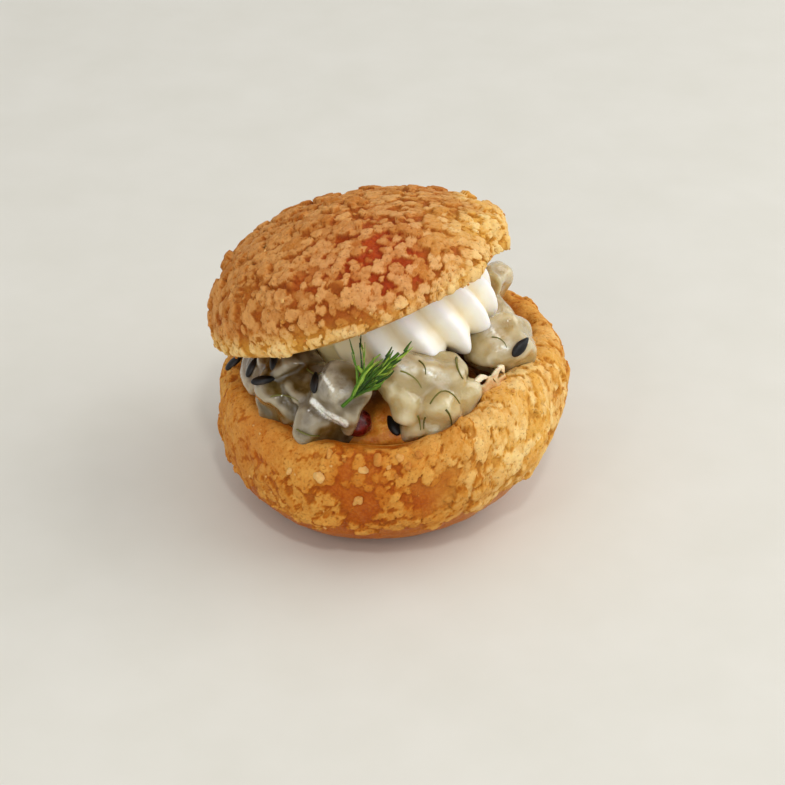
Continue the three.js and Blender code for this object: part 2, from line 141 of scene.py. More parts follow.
# Steps from a crust's seed to those of its own random draws
CHANCE_STEP = 3
REACH_STEP = 4
LOST_STEP = 5
FINE_STEP = 10
GRAIN_STEP = 20
BEAD_STEP = 30

# Places on the crust that differ in cover, grain or colour: centre and reach
HAT_COVERAGE = 1.0
HAT_PATCHES = 0.16
CRACKED_PLACE = ((1.0, -9.0, 39.5), 15)
CRACKED_LOSS = 0.34
PLATED_PLACE = ((13.0, -5.0, 38.0), 17)
FINE_PLACE = ((-11.7, -14.0, 31.6), 11)
FINE_RISE = (0.1, 0.6)
EDGE_BAND = (0.2, 2.8)
HAT_GOLD = 0.68
EDGE_GOLD = 0.85
DOME_EDGE = (-HAT_SKIRT, -HAT_SKIRT / 2)
RAGGED_PLACE = ((17.5, 1.5, 34.0), 14)
RAGGED_GOLD = 2.0
RAGGED_GAIN = 0.7
RAGGED_LUMPS = 1.5
RAGGED_SIZE = 3.2
BASE_FINENESS = 0.25
BASE_COVERAGE = 1.3
BASE_PATCHES = 0.24
PATCH_SIZE = 7.0
BARE_PLACES = [((-3.4, -22.0, 13.2), 8.5), ((5.0, -22.0, 12.0), 6.0)]
BARE_LOSS = 1.15
SMOOTH_PLACE = ((-17.0, -10.0, 14.5), 14)
SMOOTH_SHARE = 0.8
SMOOTH_CRUMB = 0.5
GLOSSY_PLACES = [((-3.0, -22.0, 12.6), 13.0), ((-15.0, -12.5, 17.0), 8.0)]
CRUMB_BORDER = (CREST_RADIUS - CREST_ROUNDING / 4, CREST_RADIUS + CREST_ROUNDING / 2)
CRUMB_RISE = (FLOOR_HEIGHT / 3, FLOOR_HEIGHT)
WAVE_RISE = (0, FLOOR_HEIGHT / 2)
INSIDE_RISE = (FLOOR_HEIGHT / 2, FLOOR_HEIGHT)
INSIDE_RADIUS = LIP_RADIUS + 1
FOOT_BAND = (5.8, 7.6)
FOOT_RED = 0.42
FOOT_RAGGED = 1.8
FOOT_RAGGED_SIZE = 3.0
RIGHT_PLACE = ((19.0, -12.0, 14.0), 22)
RIGHT_GAIN = -0.25
RIGHT_RIM = 2.8
FRONT_RIM = 0.5
SPOT_BEND = 0.28
SPOT_BEND_SIZE = 3.6
SPOT_SEED = 9

# Loose crumbs on the crust
HAT_CRUMBS = 150
BASE_CRUMBS = 90
BARE_CHANCE = 0.15
PLAIN_CHANCE = 0.03
CRUMB_SIZE = (0.2, 0.6)
CRUMB_SMALLNESS = 2
CRUMB_SEED = 301
CRUMB_SINK = 0.3
CRUMB_FLATNESS = 0.7
CRUMB_ASPECT = (0.6, 1.0)
CRUMB_LUMPS = 0.5
CRUMB_LUMP_SIZE = 0.8

# Crumbs that stand out on the front: place across and up as seen along the viewer's line, and length
FRONT_CRUMBS = [
    (-7.0, -0.7, 2.0),
    (-1.5, 0.1, 1.2),
    (-2.1, -3.6, 1.7),
    (0.4, 1.4, 1.5),
    (1.6, 0.5, 1.0),
    (-10.7, 0.0, 1.1),
    (-5.8, 2.2, 1.3),
    (4.0, 0.6, 1.6),
    (3.0, 1.6, 1.1),
    (-3.8, 1.4, 0.9),
    (2.6, -0.6, 0.8),
    (5.4, 1.9, 1.2),
]

# Cream rosette, as in the part's source, with its ridges a little skewed
CREAM_RADIUS = 11.9
CREAM_FOOT_RADIUS = 8.8
CREAM_SWELL_HEIGHT = 3
CREAM_SWELL_ROUNDING = 1.6
CREAM_SHOULDER = (8.6, 6.6)
CREAM_HEIGHT = 13.1
CREAM_FLUTES = 15
CREAM_TWIST = 0.5
FLUTE_DEPTH = 0.13
FLUTE_SHARPNESS = 0.8
FLUTE_START = 0.6
FLUTE_DROOP = 0.9
FLUTE_SKEW = 0.7
SAG = 1.2
SAG_BEARING = -1.2
SAG_NARROWNESS = 4
LOBE_PUSH = 1.8
LOBE_BEARING = -2.2
LOBE_NARROWNESS = 4
# Painted bounce light: the cream is tinged warm towards its left, fully left of the first place across, not
# at all right of the second
CREAM_BOUNCE_SPAN = (-11, -1)
CREAM_CENTRE = (5, 0.6, 22.2)
CREAM_NORMAL = (-0.27, 0.15, 0.95)

# Filling: a mound in the hollow and the dice on it, as in the part's source
MOUND_HEIGHT = 21
MOUND_SHOULDER = 0.5
MOUND_INSET = 1.2
MOUND_GAP = 0.35
# Painted light and shade on the mound: shaded less than the first of these in front of its middle, lit past
# the second
CORE_LIT_FRONT = (9, 13.5)
FRONT_DICE = [
    ((-4.4, -14.0, 22.0), (5.4, 4.8, 6.4), (18, 12, -24)),
    ((-6.8, -13.0, 17.6), (6.2, 5.4, 5.4), (-10, 20, 30)),
    ((-11.2, -9.6, 18.8), (5.6, 5.8, 6.2), (12, -8, 55)),
    ((-10.6, -6.4, 21.2), (6.4, 6.0, 5.0), (-6, 14, 20)),
    ((-14.4, -3.6, 19.0), (4.6, 5.2, 4.8), (0, 25, 10)),
    ((-8.0, -10.0, 20.4), (5.4, 5.4, 5.4), (24, -18, 70)),
    ((6.7, -11.2, 23.2), (8.0, 6.0, 4.4), (-14, 8, 6)),
    ((1.9, -13.2, 23.0), (3.0, 3.2, 3.0), (30, 10, 40)),
    ((4.4, -13.8, 20.9), (4.4, 4.4, 5.0), (14, -12, 20)),
    ((7.9, -14.2, 19.4), (3.8, 4.4, 6.8), (8, 6, -16)),
    ((10.4, -12.2, 19.9), (4.0, 4.8, 5.6), (-10, 12, 34)),
    ((5.0, -14.2, 17.4), (3.6, 4.0, 3.8), (20, 30, 10)),
    ((16.4, -3.6, 22.4), (7.2, 6.2, 6.4), (20, -16, 12)),
    ((14.4, 5.4, 20.6), (5.4, 5.8, 6.0), (10, 30, 44)),
    ((15.6, 9.6, 22.8), (2.8, 5.0, 7.4), (14, 22, -36)),
]
DIE_TINTS = [0.1, 0.12, 0.0, 0.36, 0.45, 0.25, 0.84, 0.95, 1.0, 1.0, 1.0, 0.95, 0.85, 0.8, 0.85]
DIE_POWERS = [4.2, 3.6, 3.8, 4.2, 3.4, 3.8, 3.4, 2.4, 2.5, 2.6, 2.6, 2.4, 3.6, 3.4, 3.4]
BACK_TINT = 0.95
BACK_POWER = 3.6
BACK_DICE = 6
BACK_FROM = 66
BACK_TO = 190
BACK_RING = 13.6
BACK_HEIGHT = 18.2
BACK_RISE = 1.6
BACK_SIZE = 6.4
BACK_SIZE_SPREAD = 0.3
QUARTER_TURN = 90
HALF_TURN = 180
DICE_SEED = 5
DRAWS_PER_DIE = 78
DIE_CUTS = 17
DIE_SWELL = 1.2
DIE_WAVE = 0.85
DIE_WAVE_SIZE = 2.8
DIE_RIPPLE = 0.12
DIE_RIPPLE_SIZE = 0.9
HEAP_VOXEL = 0.24
HEAP_ROUNDS = 12
HEAP_RIPPLE = 0.07
HEAP_RIPPLE_SIZE = 1.1
HEAP_SOFT = (0.1, 0.4)
SOFT_PLACE = ((6.6, -13.0, 20.5), 12)
# Painted light at the dice's edges: found where the heap stands out of a softened copy of itself
EDGE_SOFT = 0.5
EDGE_ROUNDS = 24
EDGE_RISE = 0.14
TINT_NARROWNESS = 6

# Milky band and painted highlights on the dice: ends across and up as seen along the viewer's line, reach and
# strength
BANDS_AND_PAINTED_GLINTS = [
    # The first two rows are a milky band along a die's edge, the rest are painted highlights
    ((-7.8, 8.8), (-6.2, 7.2), 0.5, 1.0),
    ((-6.2, 7.2), (-3.7, 5.9), 0.55, 1.0),
    ((-6.6, 12.2), (-5.2, 10.0), 0.3, 0.9),
    ((-6.2, 11.6), (-4.4, 9.8), 2.4, 0.24),
    ((6.2, 12.5), (7.6, 11.7), 0.25, 1.0),
    ((7.0, 12.0), (8.6, 11.2), 1.3, 0.4),
    ((2.6, 13.6), (3.6, 12.8), 0.3, 1.0),
    ((2.8, 13.8), (4.4, 12.6), 1.4, 0.45),
    ((15.0, 18.2), (15.9, 16.8), 0.3, 0.9),
    ((16.2, 15.8), (17.0, 15.4), 0.25, 0.9),
    ((15.0, 18.0), (16.4, 16.0), 1.6, 0.35),
]

# Seeds on the heap: place across and up as seen along the viewer's line, and turn in degrees
SEED_LENGTH = 3.2
SEED_WIDTH = 1.5
SEED_THICKNESS = 1.05
SEED_NARROWING = 0.45
SEED_TAPER = (-0.1, 0.6)
FRONT_WAY = (0, 0.81, -0.59)
FRONT_UP = (0, 0.59, 0.81)
FRONT_SEEDS = [
    (-15.8, 13.6, 30),
    (-14.2, 11.6, 5),
    (-12.8, 14.2, 70),
    (-7.5, 11.1, 75),
    (2.3, 5.8, 112),
    (18.6, 15.7, 55),
]
RIM_SEEDS = [(-18.7, 14.6, 10)]
BACK_SEEDS = 3
BACK_SEEDS_FROM = 50
BACK_SEEDS_TO = 120
BACK_SEED_SEED = 41
BACK_WAY_SLOPE = 0.9
BACK_AIM_HEIGHT = 14
FAR = 60

# Chopped dill threads on the dice: ends across and up as on the seeds, bow to one side, and radius
THREADS = [
    ((5.5, 13.7), (6.3, 12.0), 0.3, 0.13),
    ((3.2, 12.4), (5.8, 10.4), 0.4, 0.12),
    ((10.3, 14.2), (11.0, 11.5), -0.3, 0.2),
    ((6.9, 8.3), (10.6, 8.4), 1.6, 0.12),
    ((5.3, 6.9), (5.7, 5.1), 0.1, 0.14),
    ((6.3, 6.7), (6.1, 5.2), -0.1, 0.12),
    ((8.8, 7.6), (9.6, 5.7), 0.2, 0.16),
    ((-9.8, 5.3), (-7.0, 4.5), -0.3, 0.14),
    ((-13.2, 9.4), (-9.6, 8.8), 0.5, 0.1),
    ((-8.6, 13.0), (-6.6, 12.2), -0.3, 0.1),
    ((15.0, 17.0), (16.8, 15.6), 0.4, 0.1),
]
THREAD_STEPS = 10
THREAD_LIFT = 0.06

# Peppercorn and dill, as in the part's source
PEPPERCORN_RADIUS = 1.8
PEPPERCORN_CENTRE = (-2.2, -13.9, 17.7)
WRINKLE_DEPTH = 0.05
FOLD_SIZE = 0.9
FOLD_SEED = 3
PIMPLE_SIZE = 0.45
PIMPLE_SEED = 7
STEM = [(-4.1, -18.4, 23.2), (-2.0, -17.4, 24.9), (0.6, -15.6, 26.7), (3.0, -14.2, 28.4)]
STEM_FACE = (0, -0.8, 0.6)
STEM_RADIUS = 0.4
STEM_START = 0.6
STEM_TINT = 0.4
FROND_SEED = 77
FROND_GROUPS = [
    {"count": 3, "along": (0.26, 0.36), "lean": (-58, -36), "length": (5.0, 6.2)},
    {"count": 8, "along": (0.28, 0.72), "lean": (-18, 22), "length": (2.4, 3.8)},
]
FROND_RADIUS = 0.2
FROND_ARCH = 0.12
FROND_LIFT = (0.3, 0.8)
FROND_TAPER = 1 / 3
WISP_NEEDLES = 4
BUNDLE_NEEDLES = 3
NEEDLE_LENGTH = 2.2
NEEDLE_RADIUS = 0.13
NEEDLE_SPREAD = 0.12
NEEDLE_LENGTHS = (0.6, 1.1)
NEEDLE_SPREADS = (0.5, 1.5)
NEEDLE_BOW = 1 / 3
LEAF_TAPER = 1 / 4
BLADE_WIDTH = 0.24
BLADE_FLATNESS = 0.4
BLADE_STRAY = 0.4
BRUSH_STRANDS = 40
BRUSH_FROM = (0.14, 0.5)
BRUSH_TO = (0.5, 0.86)
BRUSH_SPREAD = 0.75
BRUSH_BOW = 1.3
BRUSH_LIFT = (0.1, 1.1)
BRUSH_RADIUS = (0.2, 0.34)

# A lacy tear of pale crumb that stands on the rim: its ends, rise, thickness and holes
TEAR_ENDS = ((12.5, -12.6, 19.9), (16.6, -9.7, 21.5))
TEAR_RISE = (-0.3, 0.4, 2.4)
TEAR_CELLS = (72, 30)
TEAR_THICKNESS = 0.4
TEAR_WAVE = 0.5
TEAR_WAVE_SIZE = 1.1
TEAR_HOLE_SIZE = 0.75
TEAR_HOLES = -0.15
TEAR_RAGGED = 1.1
TEAR_SEED = 613

# Random draws and lattice hashing
RANDOM_FACTOR = 1664525
RANDOM_STEP = 1013904223
RANDOM_RANGE = 2**32
HASH_PRIMES = np.array([73856093, 19349663, 83492791])
HASH_SEED_STEP = 40503 * 65537
HASH_FACTOR = 1540483477
HASH_SHIFT = 15
HASH_ROUNDS = 2

# How finely each surface is divided
HAT_GRID = 281
HAT_UNDERSIDE_STEPS = (6, 10)
BASE_SEGMENTS = 740
BASE_STEPS = {"foot": 5, "belly": 58, "shoulder": 34, "lip": 18, "wall": 12, "floor": 3}
CREAM_SEGMENTS = CREAM_FLUTES * 24
CREAM_STEPS = (3, 22, 40)
CORE_SEGMENTS = 160
CORE_STEPS = (3, 12, 40)
CURVE_SAMPLES = 400
PATH_SAMPLES = 40
CRUMB_ROUNDNESS = 3
SEED_ROUNDNESS = 4
PEPPERCORN_ROUNDNESS = 5
STEM_STEPS = 60
STEM_SIDES = 8
FROND_STEPS = 12
NEEDLE_STEPS = 6
STRAND_SIDES = 6
STRAND_WAY = (0.31, 0.52, 0.79)

# Colours of the crust, as stops from dark to light: plates of crumb, the shell under them and the cut face
GOLDEN_BISCUIT = [(0.2, "ac6006"), (0.45, "cb8626"), (0.65, "e4aa4c"), (0.9, "f8d690")]
HAT_COLOURS = {
    "biscuit": [(0.2, "843808"), (0.45, "a85a18"), (0.65, "bb742e"), (0.9, "da9c58")],
    "ruddy_biscuit": [(0.2, "782a06"), (0.45, "aa541a"), (0.65, "c67a36"), (0.9, "e2a66c")],
    "shell": [(0.3, "903e0a"), (0.5, "aa5814"), (0.72, "c27a2a")],
    "golden_shell": "dba03c",
    "ruddy_shell": [(0.3, "862604"), (0.5, "aa380a"), (0.7, "c24e14")],
    "cut_face": [(0.3, "c08030"), (0.7, "dca858")],
}
BASE_COLOURS = {
    "biscuit": [(0.2, "8a3a02"), (0.45, "ae5c0c"), (0.65, "c67a22"), (0.9, "e2a64e")],
    "ruddy_biscuit": [(0.2, "8a3800"), (0.45, "ae5608"), (0.65, "c67018"), (0.9, "dc9840")],
    "shell": [(0.3, "a85410"), (0.5, "be6e1e"), (0.72, "d28e3c")],
    "golden_shell": "e0a848",
    "ruddy_shell": [(0.3, "983c00"), (0.5, "b05206"), (0.7, "c8701c")],
    "cut_face": [(0.3, "d6842a"), (0.7, "eeb458")],
}
# Painted shade: the colour that the creases between plates are darkened to
CREASE_SHADE_COLOUR = "86400e"
# Painted shade: the colour that small pits are darkened to
PIT_SHADE_COLOUR = "7c3a0c"

# Finish of the crust: grains by size in millimetres, detail and roughness, the shares of what they colour,
# and spans that stretch a value, given as the span to reach and the span to take
CRUST_SHADER = {
    "Subsurface_Weight": 0.1,
    "Subsurface_Radius": (1.0, 0.4, 0.15),
    "Subsurface_Scale": 0.7 * METRES,
    "Specular_IOR_Level": 0.14,
}
MOTTLE = (3.2, 4.0, 0.65)
SPECKLE = (0.4, 5.0, 0.7)
# Small pits in the crust, painted in shade and bumped in: grain by size and detail, and the span of their
# share
PIT = (0.34, 2.0)
PIT_SPAN = (0.5, 0.0, 0.28, 0.42)
SHELL_MOTTLE = 0.75
RUDDY_MOTTLE = 0.5
GILT_SPAN = (0.5, 1.0, 0.3, 0.7)
RUDDY_SPAN = (0.0, 0.9, 0.1, 0.7)
# Shares in the crumb's tone of the painted shade on granules, tint, speckle, fleck and mottle
TONE_AND_SHADE_SHARES = (0.36, 0.28, 0.3, 0.1, 0.1)
CREASE_SHADE_SHARE = 0.7
PIT_DEPTH = -0.6
CRUST_BUMP = 0.16
CRUST_ROUGHNESS = (0.34, 0.72)

# Finish of the dice
DICE_SHADER = {
    "Subsurface_Weight": 0.9,
    "Subsurface_Radius": (1.0, 0.85, 0.6),
    "Subsurface_Scale": 3.5 * METRES,
    "IOR": 1.38,
    "Coat_Weight": 1.0,
    "Coat_Roughness": 0.03,
}
DICE_COLOURS = [(0.0, "6c5a24"), (0.4, "74501c"), (1.0, "dec78a")]
# Colour of the milky clouds and of the painted glow at edges
MILK_AND_GLOW_COLOUR = "f2ead0"
# Near white of the milky band and of the painted highlights
BAND_AND_GLINT_COLOUR = "fffdf2"
CLOUD = (2.4, 2.0)
CLOUD_SPAN = (0.0, 1.0, 0.45, 0.75)
FIBRE = (0.7, 2.0)
FIBRE_SPAN = (0.55, 1.0, 0.36, 0.56)
# Shares of the painted glow at edges and of the milkiness in clouds
EDGE_GLOW = 0.34
CLOUD_MILK = 0.12
CLOUD_BUMP = 0.5
DICE_BUMP = 0.35
DICE_CLEARNESS = (0.36, 0.05)
DICE_ROUGHNESS = (0.05, 0.18)

# The other finishes: shader, grain by size and detail, depth of its bumps, the roughness that it spans,
# the share that a piece's own tint or form has in its colour, and the colours' stops
# Painted shade: the cream is coloured darker and yellower in the valleys between its flutes, by its share of
# the ridges' form
CREAM_LOOK = {
    "shader": {
        "Subsurface_Weight": 0.5,
        "Subsurface_Radius": (1.0, 0.85, 0.6),
        "Subsurface_Scale": 0.8 * METRES,
        "Specular_IOR_Level": 0.3,
    },
    "grain": (1.6, 2.0),
    "bump": 0.08,
    "roughness": (0.35, 0.5),
    "share": 0.7,
    "colours": [(0.1, "f0dfb4"), (0.5, "fdf7e8"), (0.9, "fffdf8")],
}
# Painted bounce light: the warm tinge of the cream towards its left
BOUNCE_CREAM = "fae6a8"
MASH_LOOK = {
    "shader": {"Subsurface_Weight": 0.2, "Subsurface_Scale": 1.0 * METRES, "Specular_IOR_Level": 0.25},
    "grain": (1.3, 4.0),
    "bump": 0.4,
    "roughness": (0.2, 0.4),
}
# Painted shade and painted light: the mound's shaded and lit colours
SHADED_MASH = [(0.3, "321403"), (0.55, "522606"), (0.8, "784412")]
LIT_MASH = [(0.3, "c06a1a"), (0.55, "da8a2e"), (0.8, "f0b050")]
CRUMB_LOOK = {
    "shader": {"Specular_IOR_Level": 0.15, "Subsurface_Weight": 0.1, "Subsurface_Scale": 0.5 * METRES},
    "grain": (0.3, 4.0),
    "bump": 0.1,
    "roughness": (0.6, 0.8),
    "share": 0.6,
    "colours": [(0.1, "b86e26"), (0.5, "cc8c3e"), (0.9, "e6bc78")],
}
TEAR_LOOK = {
    "shader": {"Subsurface_Weight": 0.3, "Subsurface_Scale": 0.5 * METRES, "Specular_IOR_Level": 0.2},
    "grain": (0.5, 4.0),
    "bump": 0.15,
    "roughness": (0.5, 0.7),
    "share": 0.6,
    "colours": [(0.2, "cc9450"), (0.5, "e6c694"), (0.85, "fbeed2")],
}
DILL_LOOK = {
    "shader": {"Subsurface_Weight": 0.2, "Subsurface_Scale": 0.4 * METRES, "Specular_IOR_Level": 0.25},
    "grain": (0.5, 3.0),
    "bump": 0.05,
    "roughness": (0.3, 0.45),
    "share": 0.65,
    "colours": [(0.15, "122602"), (0.5, "46700e"), (0.85, "a6c248")],
}
THREAD_LOOK = {
    "shader": {"Specular_IOR_Level": 0.4},
    "grain": (0.5, 3.0),
    "bump": 0.03,
    "roughness": (0.25, 0.4),
    "share": 0.5,
    "colours": [(0.2, "46440c"), (0.8, "7e7a2c")],
}
SEED_LOOK = {
    "shader": {"Specular_IOR_Level": 0.35},
    "grain": (0.25, 4.0),
    "bump": 0.05,
    "roughness": (0.28, 0.45),
    "share": 0.5,
    "colours": [(0.3, "080606"), (0.6, "1a1411"), (0.9, "54463a")],
}
SEED_RIM = (0.0, 1.0, 0.6, 1.0)
PEPPERCORN_LOOK = {
    "shader": {"Coat_Weight": 0.2, "Coat_Roughness": 0.25},
    "grain": (0.7, 4.0),
    "bump": 0.08,
    "roughness": (0.2, 0.35),
    "colours": [(0.3, "3a0606"), (0.7, "7c1210")],
}

# The screen's transfer curve
COLOUR_RANGE = 255
CURVE_KNEE = 0.04045
CURVE_SLOPE = 12.92
CURVE_OFFSET = 0.055
CURVE_POWER = 2.4

# Stage
FLOOR_SIZE = 3000
FLOOR_MOTTLE = 14.0
FLOOR_ROUGHNESS = 0.6
FLOOR_COLOURS = [(0.3, "d8d5ca"), (0.7, "dcd9cf")]
CAMERA_NEAREST = 10
WHITE = (1.0, 1.0, 1.0, 1.0)
CAMERA_PLACE = (0, -242.7, 176.3)
CAMERA_AIM = (2.4, 6.3, 8.7)
LENS = 100.7
LIGHT_AIM = (0, 0, 15)
LIGHTS = {
    "key": {"place": (400, 50, 310), "size": 480, "power": 1.5},
    "glint": {"place": (60, -330, 560), "size": 50, "power": 0.62},
    "spark": {"place": (-240, -330, 400), "size": 30, "power": 0.1},
    "front": {"place": (-200, -480, 130), "size": 420, "power": 0.55},
}
FILL_STRENGTH = 0.63


def smoothstep(value, low, high):
    share = np.clip((value - low) / (high - low), 0, 1)
    return share * share * (3 - 2 * share)


def lerp(start, end, share):
    return start + (end - start) * share


def unit(vector):
    vector = np.asarray(vector, float)
    return vector / np.linalg.norm(vector, axis=-1, keepdims=True)


def seeded_random(seed):
    """Even numbers from 0 to 1, the same stream as in the part's source."""
    state = seed
    while True:
        state = (state * RANDOM_FACTOR + RANDOM_STEP) % RANDOM_RANGE
        yield state / RANDOM_RANGE


def scramble(cells, seed):
    """An even number from 0 to 1 for each cell of a lattice of whole numbers."""
    mixed = (cells @ HASH_PRIMES + seed * HASH_SEED_STEP) % RANDOM_RANGE
    for _ in range(HASH_ROUNDS):
        mixed = (mixed ^ (mixed >> HASH_SHIFT)) * HASH_FACTOR % RANDOM_RANGE
    return mixed / RANDOM_RANGE


def noise(points, size, seed):
    """Smooth noise from -1 to 1 with features of a given size."""
    scaled = points / size
    cell = np.floor(scaled).astype(int)
    share = smoothstep(scaled - cell, 0, 1)
    total = np.zeros(len(points))
    for corner in product((0, 1), repeat=3):
        weight = np.prod(np.where(corner, share, 1 - share), axis=-1)
        total += weight * scramble(cell + corner, seed)
    return 2 * total - 1


def warp(points, size, seed):
    return np.stack([noise(points, size, seed + axis) for axis in range(3)], -1)


def spot(places, centre, reach):
    """1 at a centre, falling softly to 0 at its uneven reach."""
    bent = places + SPOT_BEND * reach * warp(places, SPOT_BEND_SIZE, SPOT_SEED)
    return 1 - smoothstep(np.linalg.norm(bent - np.array(centre), axis=-1), 0, reach)


def tilt(normal):
    """The rotation that takes +Z to a direction by the shortest way."""
    x, y, z = unit(normal)
    share = 1 / (1 + z)
    return np.array(
        [
            [1 - x * x * share, -x * y * share, x],
            [-x * y * share, 1 - y * y * share, y],
            [-x, -y, z],
        ]
    )


def turned(degrees):
    """The rotation by three angles, the last one about Z made first."""
    a, b, c = np.radians(degrees)
    about_x = np.array([[1, 0, 0], [0, np.cos(a), -np.sin(a)], [0, np.sin(a), np.cos(a)]])
    about_y = np.array([[np.cos(b), 0, np.sin(b)], [0, 1, 0], [-np.sin(b), 0, np.cos(b)]])
    about_z = np.array([[np.cos(c), -np.sin(c), 0], [np.sin(c), np.cos(c), 0], [0, 0, 1]])
    return about_x @ about_y @ about_z


def placed(points, centre, normal):
    return points @ tilt(normal).T + np.array(centre)


def spaced(curve, steps):
    """Places along a curve at even distances."""
    strides = np.linalg.norm(np.diff(curve, axis=0), axis=1)
    reached = np.concatenate([[0], np.cumsum(strides)])
    at = np.linspace(0, reached[-1], steps + 1)
    return np.stack([np.interp(at, reached, axis) for axis in curve.T], -1)


def line(start, end, steps):
    return spaced(np.array([start, end], float), steps)


def bend(a, b, c, d, steps):
    """Places along a cubic curve with two end places and two control places."""
    a, b, c, d = (np.array(place, float) for place in (a, b, c, d))
    t = np.linspace(0, 1, CURVE_SAMPLES)[:, None]
    s = 1 - t
    return spaced(s**3 * a + 3 * s**2 * t * b + 3 * s * t**2 * c + t**3 * d, steps)


def arc(start, middle, end, steps):
    """Places along a quadratic curve."""
    start, middle, end = (np.array(place, float) for place in (start, middle, end))
    t = np.linspace(0, 1, steps + 1)[:, None]
    return (1 - t) ** 2 * start + 2 * t * (1 - t) * middle + t**2 * end


def chain(*stretches):
    """One profile from stretches that end where the next begins."""
    return np.concatenate([stretches[0], *(stretch[1:] for stretch in stretches[1:])])


def profile_normals(profile):
    """Outward normals of a profile of radius and height that runs up the outside."""
    along = unit(np.gradient(profile, axis=0))
    return np.stack([along[:, 1], -along[:, 0]], -1)


def ring_faces(lower, upper):
    """Quads between two rings of vertex numbers, the second above the first on the outside."""
    return np.stack([lower, np.roll(lower, -1), np.roll(upper, -1), upper], -1).tolist()


def pole_faces(pole, ring):
    """Triangles from a pole below to the ring above it."""
    return [(pole, after, here) for here, after in zip(ring, np.roll(ring, -1))]


def revolve(profile, segments):
    """Turns a profile, from the axis below to the axis above, round +Z: vertices, normals and faces."""
    turn = np.arange(segments) * 2 * np.pi / segments
    round_way = np.stack([np.cos(turn), np.sin(turn)], -1)
    rings = profile[1:-1]
    normals = profile_normals(profile)

    def spun(pairs):
        flat = pairs[:, None, :1] * round_way[None]
        return np.concatenate([flat, np.broadcast_to(pairs[:, None, 1:], (*flat.shape[:2], 1))], -1)

    vertices = spun(rings).reshape(-1, 3)
    outward = spun(normals[1:-1]).reshape(-1, 3)
    number = np.arange(len(vertices)).reshape(len(rings), segments)
    faces = [face for i in range(len(rings) - 1) for face in ring_faces(number[i], number[i + 1])]
    bottom, top = len(vertices), len(vertices) + 1
    faces += pole_faces(bottom, number[0])
    faces += [(top, here, after) for here, after in zip(number[-1], np.roll(number[-1], -1))]
    poles = [[0, 0, profile[0, 1]], [0, 0, profile[-1, 1]]]
    ends = [[0, 0, normals[0, 1]], [0, 0, normals[-1, 1]]]
    return np.concatenate([vertices, poles]), np.concatenate([outward, ends]), faces


def taken_out(made):
    """Vertices and faces of a mesh under construction, which is done with."""
    vertices = np.array([vertex.co for vertex in made.verts])
    faces = [tuple(vertex.index for vertex in face.verts) for face in made.faces]
    made.free()
    return vertices, faces


def ball(subdivisions, radius=1.0):
    """A ball of triangles: vertices and faces."""
    made = bmesh.new()
    bmesh.ops.create_icosphere(made, subdivisions=subdivisions, radius=radius)
    return taken_out(made)


def make_mesh(name, vertices, faces, attributes):
    """A smooth mesh in metres, with a number for each vertex in each attribute."""
    mesh = bpy.data.meshes.new(name)
    mesh.from_pydata((np.asarray(vertices) * METRES).tolist(), [], faces)
    for attribute, values in attributes.items():
        layer = mesh.attributes.new(attribute, "FLOAT", "POINT")
        layer.data.foreach_set("value", np.asarray(values, np.float32))
    mesh.shade_smooth()
    mesh.update()
    return mesh


def linked(name, data):
    """A new object in the scene."""
    made = bpy.data.objects.new(name, data)
    bpy.context.scene.collection.objects.link(made)
    return made


def add_piece(name, vertices, faces, material, slot, nodes=(), **attributes):
    """A piece of the puff, riding on its body and standing for the CAD nodes that it names."""
    piece = linked(name, make_mesh(name, vertices, faces, attributes))
    piece.data.materials.append(material)
    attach(piece, BODY)
    if nodes:
        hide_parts(*nodes)


def join(parts):
    """Vertices and faces of several parts as one list, and the number of each vertex's part."""
    vertices, faces, owner, start = [], [], [], 0
    for number, (places, sides) in enumerate(parts):
        vertices.append(places)
        faces += [tuple(start + corner for corner in side) for side in sides]
        owner.append(np.full(len(places), number))
        start += len(places)
    return np.concatenate(vertices), faces, np.concatenate(owner)


# Crust


def clump_sites(count, seed, place):
    """Clumps in a golden spiral over a surface: places, reaches and heights."""
    draw = seeded_random(seed)
    clumps = []
    for i in range(count):
        along = (i + 0.5 + CLUMP_STRAY * (next(draw) - 0.5)) / count
        turn = i * GOLDEN_ANGLE + CLUMP_STRAY_TURN * (next(draw) - 0.5)
        reach = CLUMP_REACH * (1 + CLUMP_REACH_SPREAD * (next(draw) - 0.5))
        height = CLUMP_HEIGHT * (1 - CLUMP_HEIGHT_SPREAD * next(draw))
        clumps.append((place(along, turn), reach, height))
    return clumps


def nearest_clump(places, clumps):
    """The clump that each place belongs to, and how far the place is inside its border."""
    first = np.full(len(places), np.inf)
    second = first.copy()
    owner = np.zeros(len(places), int)
    for number, (site, reach, _) in enumerate(clumps):
        share = np.linalg.norm(places - site, axis=1) / reach
        nearer = share < first
        second = np.where(nearer, first, np.minimum(second, share))
        first = np.where(nearer, share, first)
        owner[nearer] = number
    return owner, second - first


